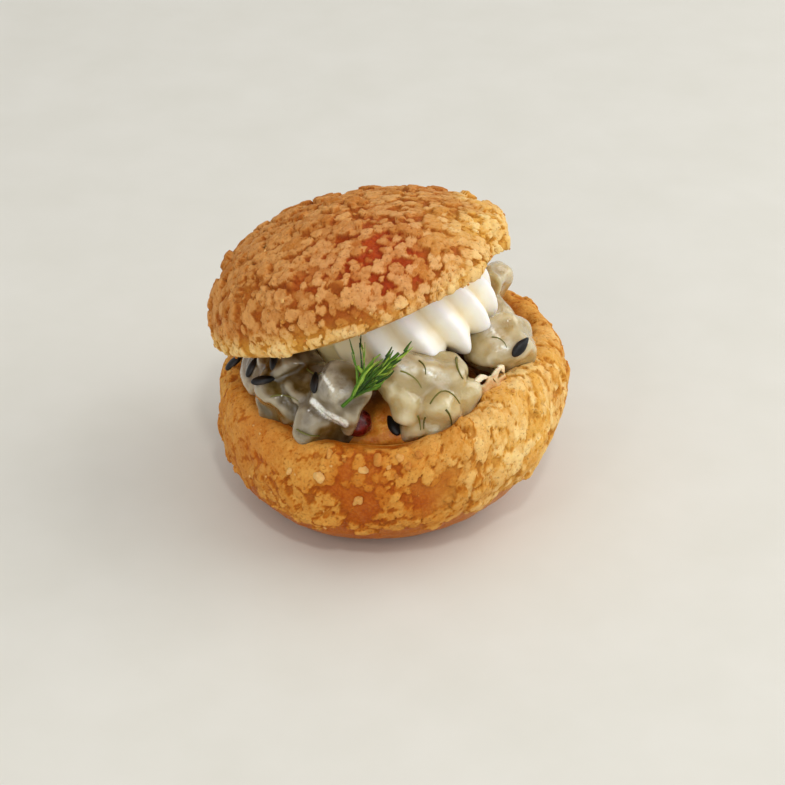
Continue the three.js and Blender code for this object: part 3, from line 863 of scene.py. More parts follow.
def granules(points, size, seed, kinds_of):
    """Granules in each cell of a lattice: height, tint, creases between plates and nearness to a top.

    kinds_of(sites, chances) gives each granule's plate, its height, 0 where it is missing, and its tint.
    """
    corner = np.floor(points.min(0) / size).astype(int) - 1
    count = np.floor(points.max(0) / size).astype(int) + 2 - corner
    cells = np.stack(np.meshgrid(*map(np.arange, count), indexing="ij"), -1) + corner
    sites = (cells + np.stack([scramble(cells, seed + axis) for axis in range(3)], -1)) * size
    chances = scramble(cells, seed + CHANCE_STEP)
    reach = size * (GRANULE_LEAST + GRANULE_SPREAD * scramble(cells, seed + REACH_STEP))
    kinds = kinds_of(sites.reshape(-1, 3), chances.ravel())
    plates, tops, tints = (kind.reshape(chances.shape) for kind in kinds)
    own = np.floor(points / size).astype(int) - corner
    height = np.zeros(len(points))
    below = height.copy()
    tint = np.full(len(points), PLAIN_TINT)
    near_top = np.zeros(len(points))
    plate = np.full(len(points), -1)
    for step in product((-1, 0, 1), repeat=3):
        near = tuple((own + step).T)
        dome = np.clip(1 - ((points - sites[near]) ** 2).sum(-1) / reach[near] ** 2, 0, 1)
        share = smoothstep(dome, 0, GRANULE_EDGE) * (1 - GRANULE_ROUND * (1 - dome))
        rise = share * tops[near]
        higher = rise > height
        lower = np.where(higher, height, rise)
        below = np.where(plates[near] != plate, np.maximum(below, lower), below)
        tint = np.where(higher, tints[near], tint)
        near_top = np.where(higher, share, near_top)
        plate = np.where(higher, plates[near], plate)
        height = np.maximum(height, rise)
    return height, tint, 1 - smoothstep(height - below, 0, CREASE_WIDTH), near_top


def crumb_relief(points, clumps, coverage, fineness, seed):
    """Crumb over the shell at each point: its height, and a number for each of the crust's attributes."""
    bent = points + GRANULE_WARP * warp(points, GRANULE_WARP_SIZE, seed)
    centres = np.array([site for site, _, _ in clumps])
    heights = np.array([height for _, _, height in clumps])
    numbers = np.arange(len(clumps))[:, None] * np.ones(3, int)
    tones = scramble(numbers, seed)
    lost = scramble(numbers, seed + LOST_STEP) < LOST_GAIN * (1 - coverage(centres))
    slopes = PLATE_TILT * np.stack([scramble(numbers, seed + axis) - 0.5 for axis in range(1, 4)], -1)

    def plated(sites, chances, drop=GRANULE_DROP):
        owner, inside = nearest_clump(sites, clumps)
        crack = CRACK_CLOSED + CRACK_GAIN * (1 - coverage(sites)) + CRACK_RAGGED * (chances - 0.5)
        level = heights[owner] + ((sites - centres[owner]) * slopes[owner]).sum(-1)
        there = (inside > crack) & ~lost[owner]
        tops = np.where(there, np.maximum(level, CRUMB_TO) * (1 - drop * chances), 0)
        return owner, tops, lerp(chances, tones[owner], CLUMP_TINT_SHARE)

    def grainy(sites, chances):
        _, tops, _ = plated(sites, chances, FINE_DROP)
        return np.arange(len(sites)), tops, 1 - chances

    def beads(sites, chances):
        there = chances < BEAD_SHARE * smoothstep(coverage(sites), *BEAD_COVER)
        tops = np.where(there, BEAD_LEVEL * (BEAD_LEAST + chances), 0)
        return np.arange(len(sites)), tops, chances / BEAD_SHARE

    fine = fineness(points)
    large = granules(bent, GRANULE, seed, plated)
    small = granules(bent, FINE_GRANULE, seed + FINE_STEP, grainy)
    bead = granules(bent, BEAD, seed + BEAD_STEP, beads)
    height = lerp(large[0], FINE_LEVEL * small[0], fine)
    looks = [lerp(large[part], small[part], fine) for part in (1, 2, 3)]
    beaded = bead[0] > height
    tint, crease_shade, near_top = (np.where(beaded, bead[part], look) for part, look in enumerate(looks, 1))
    height = np.maximum(height, bead[0])
    crumb = smoothstep(height, CRUMB_FROM, CRUMB_TO)
    # Painted shade: each granule lighter at its top and darker towards its edge
    top = smoothstep(near_top, GRANULE_SHADE_FROM, GRANULE_SHADE_TO)
    # Painted shade in the creases, fading on granule tops
    crease_shade = crease_shade * (1 - CREASE_FADE * top)
    grain, fleck, _, _ = granules(bent, GRAIN, seed + GRAIN_STEP, lambda sites, chances: (chances,) * 3)
    height = height + lerp(GRAIN_HEIGHT_BARE, GRAIN_HEIGHT, crumb) * (grain - 0.5)
    return height, {"crumb": crumb, "top": top, "tint": tint, "crease_shade": crease_shade, "fleck": fleck}


def drawn_spots(places, outward, chances, count):
    """Where loose crumbs lie on a crust, drawn from its vertices: place, way up and length."""
    rng = np.random.default_rng(CRUMB_SEED)
    drawn = rng.choice(len(places), count, p=chances / chances.sum())
    return [(places[at], outward[at], lerp(*CRUMB_SIZE, rng.uniform() ** CRUMB_SMALLNESS)) for at in drawn]


def front_spots(shell):
    """Where the crumbs that stand out lie on the front of the lower half."""
    spots = []
    for across, up, length in FRONT_CRUMBS:
        place, normal, _, _ = met(shell, seen_from(across, up))
        spots.append((np.array(place), np.array(normal), length))
    return spots


def add_crumbs(name, spots, material, slot):
    """Loose crumbs on a crust: small uneven balls that lie flat and sink in a little."""
    rng = np.random.default_rng(CRUMB_SEED)
    shape, sides = ball(CRUMB_ROUNDNESS)
    crumbs = []
    for number, (place, outward, length) in enumerate(spots):
        size = length * rng.uniform(*CRUMB_ASPECT, 3) * np.array([1, 1, CRUMB_FLATNESS])
        lumps = 1 + CRUMB_LUMPS * noise(shape, CRUMB_LUMP_SIZE, number)
        lying = shape * lumps[:, None] * size / 2 @ turned((0, 0, HALF_TURN * rng.uniform())).T
        above = place + outward * size[2] * (1 / 2 - CRUMB_SINK)
        crumbs.append((placed(lying, above, outward), sides))
    vertices, faces, owner = join(crumbs)
    add_piece(name, vertices, faces, material, slot, tint=rng.uniform(size=len(spots))[owner])


# Lower half


def uneven(places):
    """Leans, swells, slopes and tears the lower half, as in the part's source."""
    x, y, z = places.T.copy()
    lift = smoothstep(z, 0, BULGE_HEIGHT)
    high = smoothstep(z, BULGE_HEIGHT, RIM_HEIGHT)
    turn = np.arctan2(y, x)
    torn = high * np.maximum(0, np.cos(turn - TORN_BEARING)) ** TORN_NARROWNESS
    swell = 1 + sum(lift * share * np.cos(waves * turn + phase) for waves, share, phase in SWELLS)
    x = x * swell + LEAN * lift - TORN_INWARD * torn * np.cos(turn)
    y = y * swell - TORN_INWARD * torn * np.sin(turn)
    z = z + lift * (RIM_SLOPE[0] * x + RIM_SLOPE[1] * y) + TORN_RISE * torn
    return np.stack([x, y, z], -1)


def base_profile():
    """Foot, belly, shoulder, lip, inner wall and floor of the lower half."""
    wall_top = RIM_HEIGHT - LIP_DROP
    foot, floor_edge = (FOOT_RADIUS, 0), (FLOOR_RADIUS, FLOOR_HEIGHT)
    widest, crest, lip = (BULGE_RADIUS, BULGE_HEIGHT), (CREST_RADIUS, RIM_HEIGHT), (LIP_RADIUS, wall_top)
    beside_foot = (FOOT_RADIUS + FOOT_ROUNDING, 0)
    below_widest = (BULGE_RADIUS, BULGE_HEIGHT - BULGE_ROUNDING_BELOW)
    above_widest = (BULGE_RADIUS, BULGE_HEIGHT + BULGE_ROUNDING_ABOVE)
    outside_crest = (CREST_RADIUS + CREST_ROUNDING, RIM_HEIGHT)
    inside_crest = (CREST_RADIUS - CREST_ROUNDING, RIM_HEIGHT)
    above_lip = (LIP_RADIUS, RIM_HEIGHT - LIP_DROP / 2)
    low_wall, corner = (LIP_RADIUS, FLOOR_HEIGHT + WALL_ROUNDING), (LIP_RADIUS, FLOOR_HEIGHT)
    return chain(
        line((0, 0), foot, BASE_STEPS["foot"]),
        bend(foot, beside_foot, below_widest, widest, BASE_STEPS["belly"]),
        bend(widest, above_widest, outside_crest, crest, BASE_STEPS["shoulder"]),
        bend(crest, inside_crest, above_lip, lip, BASE_STEPS["lip"]),
        bend(lip, low_wall, corner, floor_edge, BASE_STEPS["wall"]),
        line(floor_edge, (0, FLOOR_HEIGHT), BASE_STEPS["floor"]),
    )


def base_place(along, turn):
    """Where the outside of the lower half stands, from its clumps' lowest to their highest."""
    height = lerp(BASE_CLUMPS_FROM, BASE_CLUMPS_TO, along)
    low = min(1, height / BULGE_HEIGHT)
    belly = lerp(FOOT_RADIUS, BULGE_RADIUS, np.sqrt(1 - (1 - low) ** 2))
    radius = belly - smoothstep(height, BULGE_HEIGHT, RIM_HEIGHT) * (BULGE_RADIUS - CREST_RADIUS)
    return np.array([radius * np.cos(turn), radius * np.sin(turn), height])


def above_foot(places):
    """1 above the ragged lower edge of the crumb, 0 on the smooth foot."""
    ragged = FOOT_RAGGED * noise(places, FOOT_RAGGED_SIZE, BASE_CLUMP_SEED)
    return smoothstep(places[:, 2] + ragged, *FOOT_BAND)


def base_coverage(places):
    bare = BARE_LOSS * sum(spot(places, *place) for place in BARE_PLACES)
    patches = BASE_PATCHES * noise(places, PATCH_SIZE, BASE_CLUMP_SEED)
    return (BASE_COVERAGE + patches) * above_foot(places) + RIGHT_GAIN * spot(places, *RIGHT_PLACE) - bare


def base_fineness(places):
    return BASE_FINENESS * (1 - spot(places, *RIGHT_PLACE))


def build_base(material, crumb_material):
    """The lower half. Gives the surface that a seed on its rim lies on."""
    places, outward, faces = revolve(base_profile(), BASE_SEGMENTS)
    clumps = clump_sites(BASE_CLUMPS, BASE_CLUMP_SEED, base_place)
    height, parts = crumb_relief(places, clumps, base_coverage, base_fineness, BASE_CLUMP_SEED)
    out = np.hypot(places[:, 0], places[:, 1])
    golden = spot(places, *RIGHT_PLACE)
    inward = RIGHT_RIM * golden + FRONT_RIM
    outside = smoothstep(out + inward, *CRUMB_BORDER) * smoothstep(places[:, 2], *CRUMB_RISE)
    wave = SHELL_WAVE * noise(places, SHELL_WAVE_SIZE, BASE_CLUMP_SEED)
    wave += SHELL_RIPPLE * noise(places, SHELL_RIPPLE_SIZE, BASE_CLUMP_SEED)
    wave *= smoothstep(places[:, 2], *WAVE_RISE)
    inside = (out < INSIDE_RADIUS) * smoothstep(places[:, 2], *INSIDE_RISE)
    glossy = sum(spot(places, *place) for place in GLOSSY_PLACES)
    glossy = np.maximum(glossy, FOOT_RED * (1 - above_foot(places)))
    smooth = SMOOTH_SHARE * spot(places, *SMOOTH_PLACE)
    share = BASE_CLUMP_SHARE * outside * (1 - smooth)
    places = uneven(places + outward * (share * height + wave)[:, None])
    parts["crumb"] = lerp(parts["crumb"] * outside, SMOOTH_CRUMB, smooth)
    parts["crease_shade"] = parts["crease_shade"] * (1 - smooth)
    spots = drawn_spots(places, outward, outside * (BARE_CHANCE + parts["crumb"]), BASE_CRUMBS)
    shell = BVHTree.FromPolygons(places.tolist(), faces)
    add_crumbs("base_crumbs", spots + front_spots(shell), crumb_material, "lower_crust")
    add_piece(
        "base_crust", places, faces, material, "lower_crust", ("base",),
        golden=golden, ruddy=glossy, inside=inside, **parts,
    )
    return shell


# Hat


def disk_grid(count):
    """A square grid mapped to the unit disk with even cells: radius and turn of its points."""
    side = np.linspace(-1, 1, count)
    x, y = np.meshgrid(side, side, indexing="ij")
    wide = np.abs(x) >= np.abs(y)
    reach = np.where(wide, x, y)
    share = np.divide(np.where(wide, y, x), reach, out=np.zeros_like(x), where=reach != 0)
    turn = np.where(wide, np.pi / 4 * share, np.pi / 2 - np.pi / 4 * share)
    return reach.ravel(), turn.ravel()


def disk_faces(count):
    number = np.arange(count * count).reshape(count, count)
    quads = np.stack([number[:-1, :-1], number[1:, :-1], number[1:, 1:], number[:-1, 1:]], -1)
    edge = [number[-1, :-1], number[:0:-1, -1], number[0, :0:-1], number[:-1, 0]]
    return quads.reshape(-1, 4).tolist(), np.concatenate(edge)


def dome_profile():
    """Radius and height from the hat's top down over the dome and its tucked skirt."""
    turn = np.linspace(0, np.pi / 2, CURVE_SAMPLES)
    dome = np.stack([HAT_RADIUS * np.sin(turn), HAT_HEIGHT * np.cos(turn)], -1)
    skirt = line((HAT_RADIUS, 0), (HAT_RADIUS - HAT_TUCK, -HAT_SKIRT), 1)
    return spaced(chain(dome, skirt), CURVE_SAMPLES)


def underside_profile():
    """Radius and height from the skirt's edge round the cut and up into the hollow."""
    inner, outer = HAT_RADIUS - HAT_WALL, HAT_RADIUS - HAT_TUCK
    edge = -HAT_SKIRT - HAT_EDGE
    cut_steps, hollow_steps = HAT_UNDERSIDE_STEPS
    top, beside_top = (0, HAT_HOLLOW), (inner / 2, HAT_HOLLOW)
    return chain(
        bend((outer, -HAT_SKIRT), (outer, edge), (inner, edge), (inner, -HAT_SKIRT), cut_steps),
        bend((inner, -HAT_SKIRT), (inner, HAT_HOLLOW / 2), beside_top, top, hollow_steps),
    )[1:]


def dome_place(along, turn):
    up = 1 - along
    girth = HAT_RADIUS * np.sqrt(1 - up * up)
    return np.array([girth * np.cos(turn), girth * np.sin(turn), HAT_HEIGHT * up])


def on_puff(places):
    """Places on the hat, from its own frame to the puff's."""
    return placed(places, HAT_CENTRE, HAT_NORMAL)


def hat_coverage(places):
    patches = HAT_PATCHES * noise(places, PATCH_SIZE, HAT_CLUMP_SEED)
    return HAT_COVERAGE + patches - CRACKED_LOSS * spot(on_puff(places), *CRACKED_PLACE)


def hat_edge(places):
    """1 along the lower edge of the dome, 0 above it."""
    return 1 - smoothstep(places[:, 2], *EDGE_BAND)


def hat_fineness(places):
    return np.maximum(hat_edge(places), smoothstep(spot(on_puff(places), *FINE_PLACE), *FINE_RISE))


def hat_surface():
    """Dome and underside as one closed surface: vertices, outward normals, faces and the inside's share."""
    reach, turn = disk_grid(HAT_GRID)
    profile = dome_profile()
    along = np.linspace(0, 1, len(profile))
    normal = -profile_normals(profile)
    round_way = np.stack([np.cos(turn), np.sin(turn)], -1) * np.sign(reach)[:, None]

    def over_dome(pairs):
        radius, height = (np.interp(np.abs(reach), along, pairs[:, i]) for i in range(2))
        return np.concatenate([round_way * radius[:, None], height[:, None]], -1)

    dome, outward = over_dome(profile), over_dome(normal)
    faces, edge = disk_faces(HAT_GRID)
    under = underside_profile()
    rings = [np.concatenate([round_way[edge] * r, np.full((len(edge), 1), z)], -1) for r, z in under[:-1]]
    vertices = np.concatenate([dome, *rings, [[0, 0, under[-1, 1]]]])
    above = edge
    for number in range(len(rings)):
        below = len(dome) + number * len(edge) + np.arange(len(edge))
        faces += ring_faces(below, above)
        above = below
    faces += pole_faces(len(vertices) - 1, above)
    hidden = len(vertices) - len(dome)
    outward = np.concatenate([outward, np.tile([0.0, 0.0, -1.0], (hidden, 1))])
    inside = np.concatenate([np.zeros(len(dome)), np.ones(hidden)])
    return vertices, outward, faces, inside


def build_hat(material, crumb_material):
    places, outward, faces, inside = hat_surface()
    clumps = clump_sites(HAT_CLUMPS, HAT_CLUMP_SEED, dome_place)
    height, parts = crumb_relief(places, clumps, hat_coverage, hat_fineness, HAT_CLUMP_SEED)
    on_dome = (1 - inside) * smoothstep(places[:, 2], *DOME_EDGE)
    ruddy, plated, ragged = (spot(on_puff(places), *at) for at in (CRACKED_PLACE, PLATED_PLACE, RAGGED_PLACE))
    height = height * (1 + RAGGED_GAIN * ragged)
    wave = SHELL_WAVE * noise(places, SHELL_WAVE_SIZE, HAT_CLUMP_SEED)
    wave += RAGGED_LUMPS * ragged * noise(places, RAGGED_SIZE, HAT_CLUMP_SEED)
    golden = np.maximum(HAT_GOLD * plated, EDGE_GOLD * hat_edge(places))
    golden = np.maximum(golden, np.minimum(1, RAGGED_GOLD * ragged))
    fine = hat_fineness(places)
    parts["crumb"] = parts["crumb"] * on_dome
    places = places + outward * (on_dome * (height + wave))[:, None]
    places[:, 2] *= 1 - HAT_SLUMP * places[:, 0] / HAT_RADIUS * (1 - inside) * (places[:, 2] > 0)
    places = on_puff(places)
    chances = on_dome * (PLAIN_CHANCE + fine) * parts["crumb"]
    spots = drawn_spots(places, outward @ tilt(HAT_NORMAL).T, chances, HAT_CRUMBS)
    add_crumbs("hat_crumbs", spots, crumb_material, "hat_crust")
    add_piece(
        "hat_crust", places, faces, material, "hat_crust", ("hat",),
        golden=golden, ruddy=ruddy, inside=inside, **parts,
    )


# Cream


def cream_profile():
    foot_steps, swell_steps, crown_steps = CREAM_STEPS
    foot, swell, top = (CREAM_FOOT_RADIUS, 0), (CREAM_RADIUS, CREAM_SWELL_HEIGHT), (0, CREAM_HEIGHT)
    low = (CREAM_RADIUS, CREAM_SWELL_HEIGHT - CREAM_SWELL_ROUNDING)
    shoulder_radius, shoulder_height = CREAM_SHOULDER
    return chain(
        line((0, 0), foot, foot_steps),
        bend(foot, (CREAM_RADIUS, 0), low, swell, swell_steps),
        bend(swell, (CREAM_RADIUS, shoulder_height), (shoulder_radius, CREAM_HEIGHT), top, crown_steps),
    )


def build_cream(material):
    places, _, faces = revolve(cream_profile(), CREAM_SEGMENTS)
    x, y, z = places.T
    turn = np.arctan2(y, x) + CREAM_TWIST * z / CREAM_HEIGHT
    wave = CREAM_FLUTES / 2 * turn
    ridge = np.abs(np.cos(wave + FLUTE_SKEW * np.cos(wave) * np.sin(wave))) ** FLUTE_SHARPNESS
    outer = smoothstep(np.hypot(x, y), 0, CREAM_RADIUS * FLUTE_START)
    shrink = 1 - FLUTE_DEPTH * (1 - ridge) * outer
    sag = SAG * np.maximum(0, np.cos(turn - SAG_BEARING)) ** SAG_NARROWNESS
    low = outer * (1 - smoothstep(z, 0, CREAM_SWELL_HEIGHT))
    push = LOBE_PUSH * outer * np.maximum(0, np.cos(turn - LOBE_BEARING)) ** LOBE_NARROWNESS
    spread = shrink + push / CREAM_RADIUS
    piped = np.stack([x * spread, y * spread, z - low * ridge * (FLUTE_DROOP + sag)], -1)
    # Painted bounce light: a warm tinge on the cream's left side, as from light off the crust
    add_piece(
        "cream_rosette", placed(piped, CREAM_CENTRE, CREAM_NORMAL), faces, material, "cream", ("cream",),
        ridge=ridge, warm=1 - smoothstep(x, *CREAM_BOUNCE_SPAN),
    )


# Filling


def core_surface():
    """The mound under the dice, clear of the wall round it."""
    radius, foot = LIP_RADIUS - MOUND_INSET, FLOOR_RADIUS - MOUND_INSET
    floor, shoulder = FLOOR_HEIGHT + MOUND_GAP, RIM_HEIGHT - LIP_DROP
    floor_steps, side_steps, top_steps = CORE_STEPS
    corner, side_top = (radius, floor), (radius, shoulder)
    above_side, beside_top = (radius, RIM_HEIGHT), (radius * MOUND_SHOULDER, MOUND_HEIGHT)
    profile = chain(
        line((0, floor), (foot, floor), floor_steps),
        bend((foot, floor), corner, corner, side_top, side_steps),
        bend(side_top, above_side, beside_top, (0, MOUND_HEIGHT), top_steps),
    )
    places, outward, faces = revolve(profile, CORE_SEGMENTS)
    places = places + outward * (DIE_WAVE * noise(places, DIE_WAVE_SIZE, DICE_SEED))[:, None]
    return uneven(places), faces


def unit_cube():
    """A cube of side 2 cut into a fine grid on every side: vertices and faces."""
    made = bmesh.new()
    bmesh.ops.create_cube(made, size=2)
    bmesh.ops.subdivide_edges(made, edges=made.edges, cuts=DIE_CUTS, use_grid_fill=True)
    return taken_out(made)


def die_surface(cube, die, power, seed):
    """One die: the cube pulled towards a soft-edged block, made wavy, turned and set in place."""
    at, size, turn = die
    way = unit(cube)
    block = way / (np.abs(way) ** power).sum(-1, keepdims=True) ** (1 / power)
    places = block * DIE_SWELL * np.array(size) / 2
    apart = places + seed * FAR
    places = places + DIE_WAVE * warp(apart, DIE_WAVE_SIZE, seed)
    places = places + DIE_RIPPLE * warp(apart, DIE_RIPPLE_SIZE, seed)
    return places @ turned(turn).T + np.array(at)


def dice_table():
    """Place, size and turn of every die: those at the front, then those in a ring at the back."""
    draw = islice(seeded_random(DICE_SEED), len(FRONT_DICE) * DRAWS_PER_DIE, None)
    dice = list(FRONT_DICE)
    for i in range(BACK_DICE):
        along = i / (BACK_DICE - 1)
        bearing = np.radians(lerp(BACK_FROM, BACK_TO, along))
        size = [BACK_SIZE * (1 + BACK_SIZE_SPREAD * next(draw)) for _ in range(3)]
        turn = [QUARTER_TURN * next(draw) for _ in range(3)]
        draw = islice(draw, DRAWS_PER_DIE, None)
        ring = (LEAN + BACK_RING * np.cos(bearing), BACK_RING * np.sin(bearing))
        dice.append(((*ring, BACK_HEIGHT + BACK_RISE * (1 - along)), size, turn))
    return dice


def merged(places, faces):
    """One closed surface round several that cut into each other: vertices, normals, edges and faces."""
    cut = bpy.data.meshes.new("rough")
    cut.from_pydata(places.tolist(), [], faces)
    rough = linked("rough", cut)
    remesh = rough.modifiers.new("merge", "REMESH")
    remesh.mode = "VOXEL"
    remesh.voxel_size = HEAP_VOXEL
    whole = bpy.data.meshes.new_from_object(rough.evaluated_get(bpy.context.evaluated_depsgraph_get()))
    vertices = np.array([vertex.co for vertex in whole.vertices])
    normals = np.array([vertex.normal for vertex in whole.vertices])
    edges = np.array([edge.vertices for edge in whole.edges])
    sides = [tuple(side.vertices) for side in whole.polygons]
    for mesh in (cut, whole):
        bpy.data.meshes.remove(mesh)
    return vertices, normals, edges, sides


def softened(places, edges, share, rounds):
    """Moves each vertex by a share towards the middle of its neighbours, a number of rounds."""
    one, other = np.concatenate([edges, edges[:, ::-1]]).T
    count = np.bincount(one, minlength=len(places))[:, None]
    for _ in range(rounds):
        sums = np.stack([np.bincount(one, places[other, axis], len(places)) for axis in range(3)], -1)
        places = places + share * (sums / count - places)
    return places


def blended_tints(places, dice):
    """Each die's tint, running softly into that of the next."""
    tints = DIE_TINTS + [BACK_TINT] * BACK_DICE
    total = weights = 0
    for (at, size, _), tint in zip(dice, tints):
        weight = (np.linalg.norm(places - np.array(at), axis=1) / np.mean(size)) ** -TINT_NARROWNESS
        total, weights = total + weight * tint, weights + weight
    return total / weights


def build_filling(core_material, dice_material):
    """The mound and the dice on it. Gives the heap that seeds and threads lie on."""
    core_places, core_faces = core_surface()
    # Painted light: the mound is coloured lit towards its front and shaded further back
    front = smoothstep(-core_places[:, 1], *CORE_LIT_FRONT)
    add_piece("filling_core", core_places, core_faces, core_material, "seafood", ("filling",), front=front)
    cube, sides = unit_cube()
    powers = DIE_POWERS + [BACK_POWER] * BACK_DICE
    dice = dice_table()
    blocks = [die_surface(cube, *row, seed) for seed, row in enumerate(zip(dice, powers))]
    rough_places, rough_faces, _ = join([(block, sides) for block in blocks])
    places, normals, edges, faces = merged(rough_places, rough_faces)
    soft = lerp(*HEAP_SOFT, spot(places, *SOFT_PLACE))[:, None]
    places = softened(places, edges, soft, HEAP_ROUNDS)
    rounder = softened(places, edges, EDGE_SOFT, EDGE_ROUNDS)
    places = places + normals * (HEAP_RIPPLE * noise(places, HEAP_RIPPLE_SIZE, DICE_SEED))[:, None]
    # Painted light: the dice are paler where their edges stand out, as if light came through them
    edge = ((places - rounder) * normals).sum(-1) / EDGE_RISE
    add_piece(
        "seafood_dice", places, faces, dice_material, "seafood", ("filling",),
        tint=blended_tints(places, dice), edge=np.clip(edge, 0, 1), streak=streaks(places),
    )
    heap_places, heap_faces, _ = join([(core_places, core_faces), (places, faces)])
    return BVHTree.FromPolygons(heap_places.tolist(), heap_faces)


def streaks(places):
    """How strong the milky band and the painted highlights on the dice are, 0 off them."""
    seen = np.stack([places[:, 0], places @ unit(FRONT_UP)], -1)
    share = np.zeros(len(places))
    for start, end, reach, strength in BANDS_AND_PAINTED_GLINTS:
        start, way = np.array(start), np.array(end) - np.array(start)
        along = np.clip((seen - start) @ way / (way @ way), 0, 1)
        away = np.linalg.norm(seen - start - along[:, None] * way, axis=1)
        share = np.maximum(share, strength * (1 - smoothstep(away, reach / 2, reach)))
    return share


def seen_from(across, up):
    """Where a line from the viewer starts, by its place across and up."""
    return np.array([across, 0, 0]) + unit(FRONT_UP) * up - unit(FRONT_WAY) * FAR


def met(surface, start, way=unit(FRONT_WAY)):
    """Where a line, the viewer's own unless it has another way, first meets a surface."""
    return surface.ray_cast(Vector(start), Vector(way))


def front_lines(seeds):
    return [(seen_from(across, up), unit(FRONT_WAY), turn) for across, up, turn in seeds]


def heap_lines():
    """Where the line of each seed on the heap starts, its direction and the seed's turn in degrees."""
    lines = front_lines(FRONT_SEEDS)
    draw = seeded_random(BACK_SEED_SEED)
    for i in range(BACK_SEEDS):
        bearing = np.radians(lerp(BACK_SEEDS_FROM, BACK_SEEDS_TO, (i + next(draw)) / BACK_SEEDS))
        way = unit((-np.cos(bearing), -np.sin(bearing), -BACK_WAY_SLOPE))
        lines.append((np.array([LEAN, 0, BACK_AIM_HEIGHT]) - way * FAR, way, HALF_TURN * next(draw)))
    return lines


def seed_shape():
    """A seed's flat drop, narrow at one end, lying along X."""
    shape, faces = ball(SEED_ROUNDNESS, 1 / 2)
    narrow = 1 - SEED_NARROWING * smoothstep(shape[:, 0], *SEED_TAPER)
    shape[:, 1] *= narrow
    shape[:, 2] *= (1 + narrow) / 2
    return shape * np.array([SEED_LENGTH, SEED_WIDTH, SEED_THICKNESS]), faces


def build_seeds(heap, shell, material):
    shape, sides = seed_shape()
    seeds = []
    on_heap = [(heap, *row) for row in heap_lines()]
    on_rim = [(shell, *row) for row in front_lines(RIM_SEEDS)]
    for under, start, way, turn in on_heap + on_rim:
        place, normal, _, _ = met(under, start, way)
        if place is None:
            continue
        lying = shape @ turned((0, 0, turn)).T
        seeds.append((placed(lying, place, normal), sides))
    places, faces, _ = join(seeds)
    rim = np.tile(np.abs(shape[:, 1]) / (SEED_WIDTH / 2), len(seeds))
    add_piece("sesame_seeds", places, faces, material, "seafood", rim=rim)


def build_threads(heap, material):
    """Threads of chopped dill, laid on the heap where the viewer's lines meet it."""
    strands = []
    for start, end, bow, radius in THREADS:
        start, end = np.array(start), np.array(end)
        aside = np.array([start[1] - end[1], end[0] - start[0]])
        middle = (start + end) / 2 + 2 * bow * unit(aside)
        route = []
        for across, up in arc(start, middle, end, THREAD_STEPS):
            place, normal, _, _ = met(heap, seen_from(across, up))
            if place is not None:
                route.append(np.array(place) + THREAD_LIFT * np.array(normal))
        strands.append(strand(smooth_path(route, THREAD_STEPS), radius, radius / 2))
    places, faces, owner = join(strands)
    tint = scramble(owner[:, None] * np.ones(3, int), FROND_SEED)
    add_piece("dill_threads", places, faces, material, "dill", tint=tint)


# Peppercorn and dill


def build_peppercorn(material):
    round_shape, faces = ball(PEPPERCORN_ROUNDNESS, PEPPERCORN_RADIUS)
    folds = np.abs(noise(round_shape, FOLD_SIZE, FOLD_SEED))
    wrinkle = WRINKLE_DEPTH * (folds + noise(round_shape, PIMPLE_SIZE, PIMPLE_SEED))
    places = round_shape + unit(round_shape) * wrinkle[:, None] + np.array(PEPPERCORN_CENTRE)
    add_piece("red_peppercorn", places, faces, material, "peppercorn", ("peppercorn",))


def strand(path, start_radius, end_radius, sides=STRAND_SIDES, across=STRAND_WAY, flatness=1.0):
    """A thin tube along a path, tapering and closed at both ends, or a blade if it is flat."""
    path = np.asarray(path, float)
    along = unit(np.gradient(path, axis=0))
    over = unit(np.cross(along, across))
    wide = np.cross(over, along)
    turn = (np.arange(sides) * 2 * np.pi / sides)[None, :, None]
    radius = np.linspace(start_radius, end_radius, len(path))[:, None, None]
    round_way = np.cos(turn) * wide[:, None] + flatness * np.sin(turn) * over[:, None]
    rings = path[:, None] + radius * round_way
    number = np.arange(len(path) * sides).reshape(len(path), sides)
    faces = [face for i in range(len(path) - 1) for face in ring_faces(number[i], number[i + 1])]
    faces += [tuple(number[0][::-1]), tuple(number[-1])]
    return rings.reshape(-1, 3), faces


def smooth_path(places, steps):
    """A smooth curve through a few places, at even distances."""
    places = np.asarray(places, float)
    before = 2 * places[0] - places[1]
    after = 2 * places[-1] - places[-2]
    padded = np.concatenate([[before], places, [after]])
    t = np.linspace(0, 1, PATH_SAMPLES)[:, None]
    pieces = []
    for a, b, c, d in zip(padded, padded[1:], padded[2:], padded[3:]):
        bow = 2 * a - 5 * b + 4 * c - d
        pieces.append(0.5 * (2 * b + (c - a) * t + bow * t**2 + (3 * (b - c) + d - a) * t**3))
    return spaced(np.concatenate(pieces), steps)


def frond_paths():
    """The stem's path and each group's fronds from it, by the same rule as in the part's source."""
    draw = seeded_random(FROND_SEED)
    stem = smooth_path(STEM, STEM_STEPS)
    ways = unit(np.gradient(stem, axis=0))
    face = np.array(STEM_FACE)
    groups = []
    for group in FROND_GROUPS:
        fronds = []
        for i in range(group["count"]):
            at = round(STEM_STEPS * lerp(*group["along"], i / (group["count"] - 1)))
            aside = unit(np.cross(ways[at], face))
            lean = np.radians(lerp(*group["lean"], next(draw)))
            length = lerp(*group["length"], next(draw))
            tip = stem[at] + length * (ways[at] * np.cos(lean) + aside * np.sin(lean))
            middle = (stem[at] + tip) / 2 + aside * FROND_ARCH * length
            middle = middle + face * lerp(*FROND_LIFT, next(draw))
            fronds.append(arc(stem[at], middle, tip, FROND_STEPS))
        groups.append(fronds)
    return stem, groups


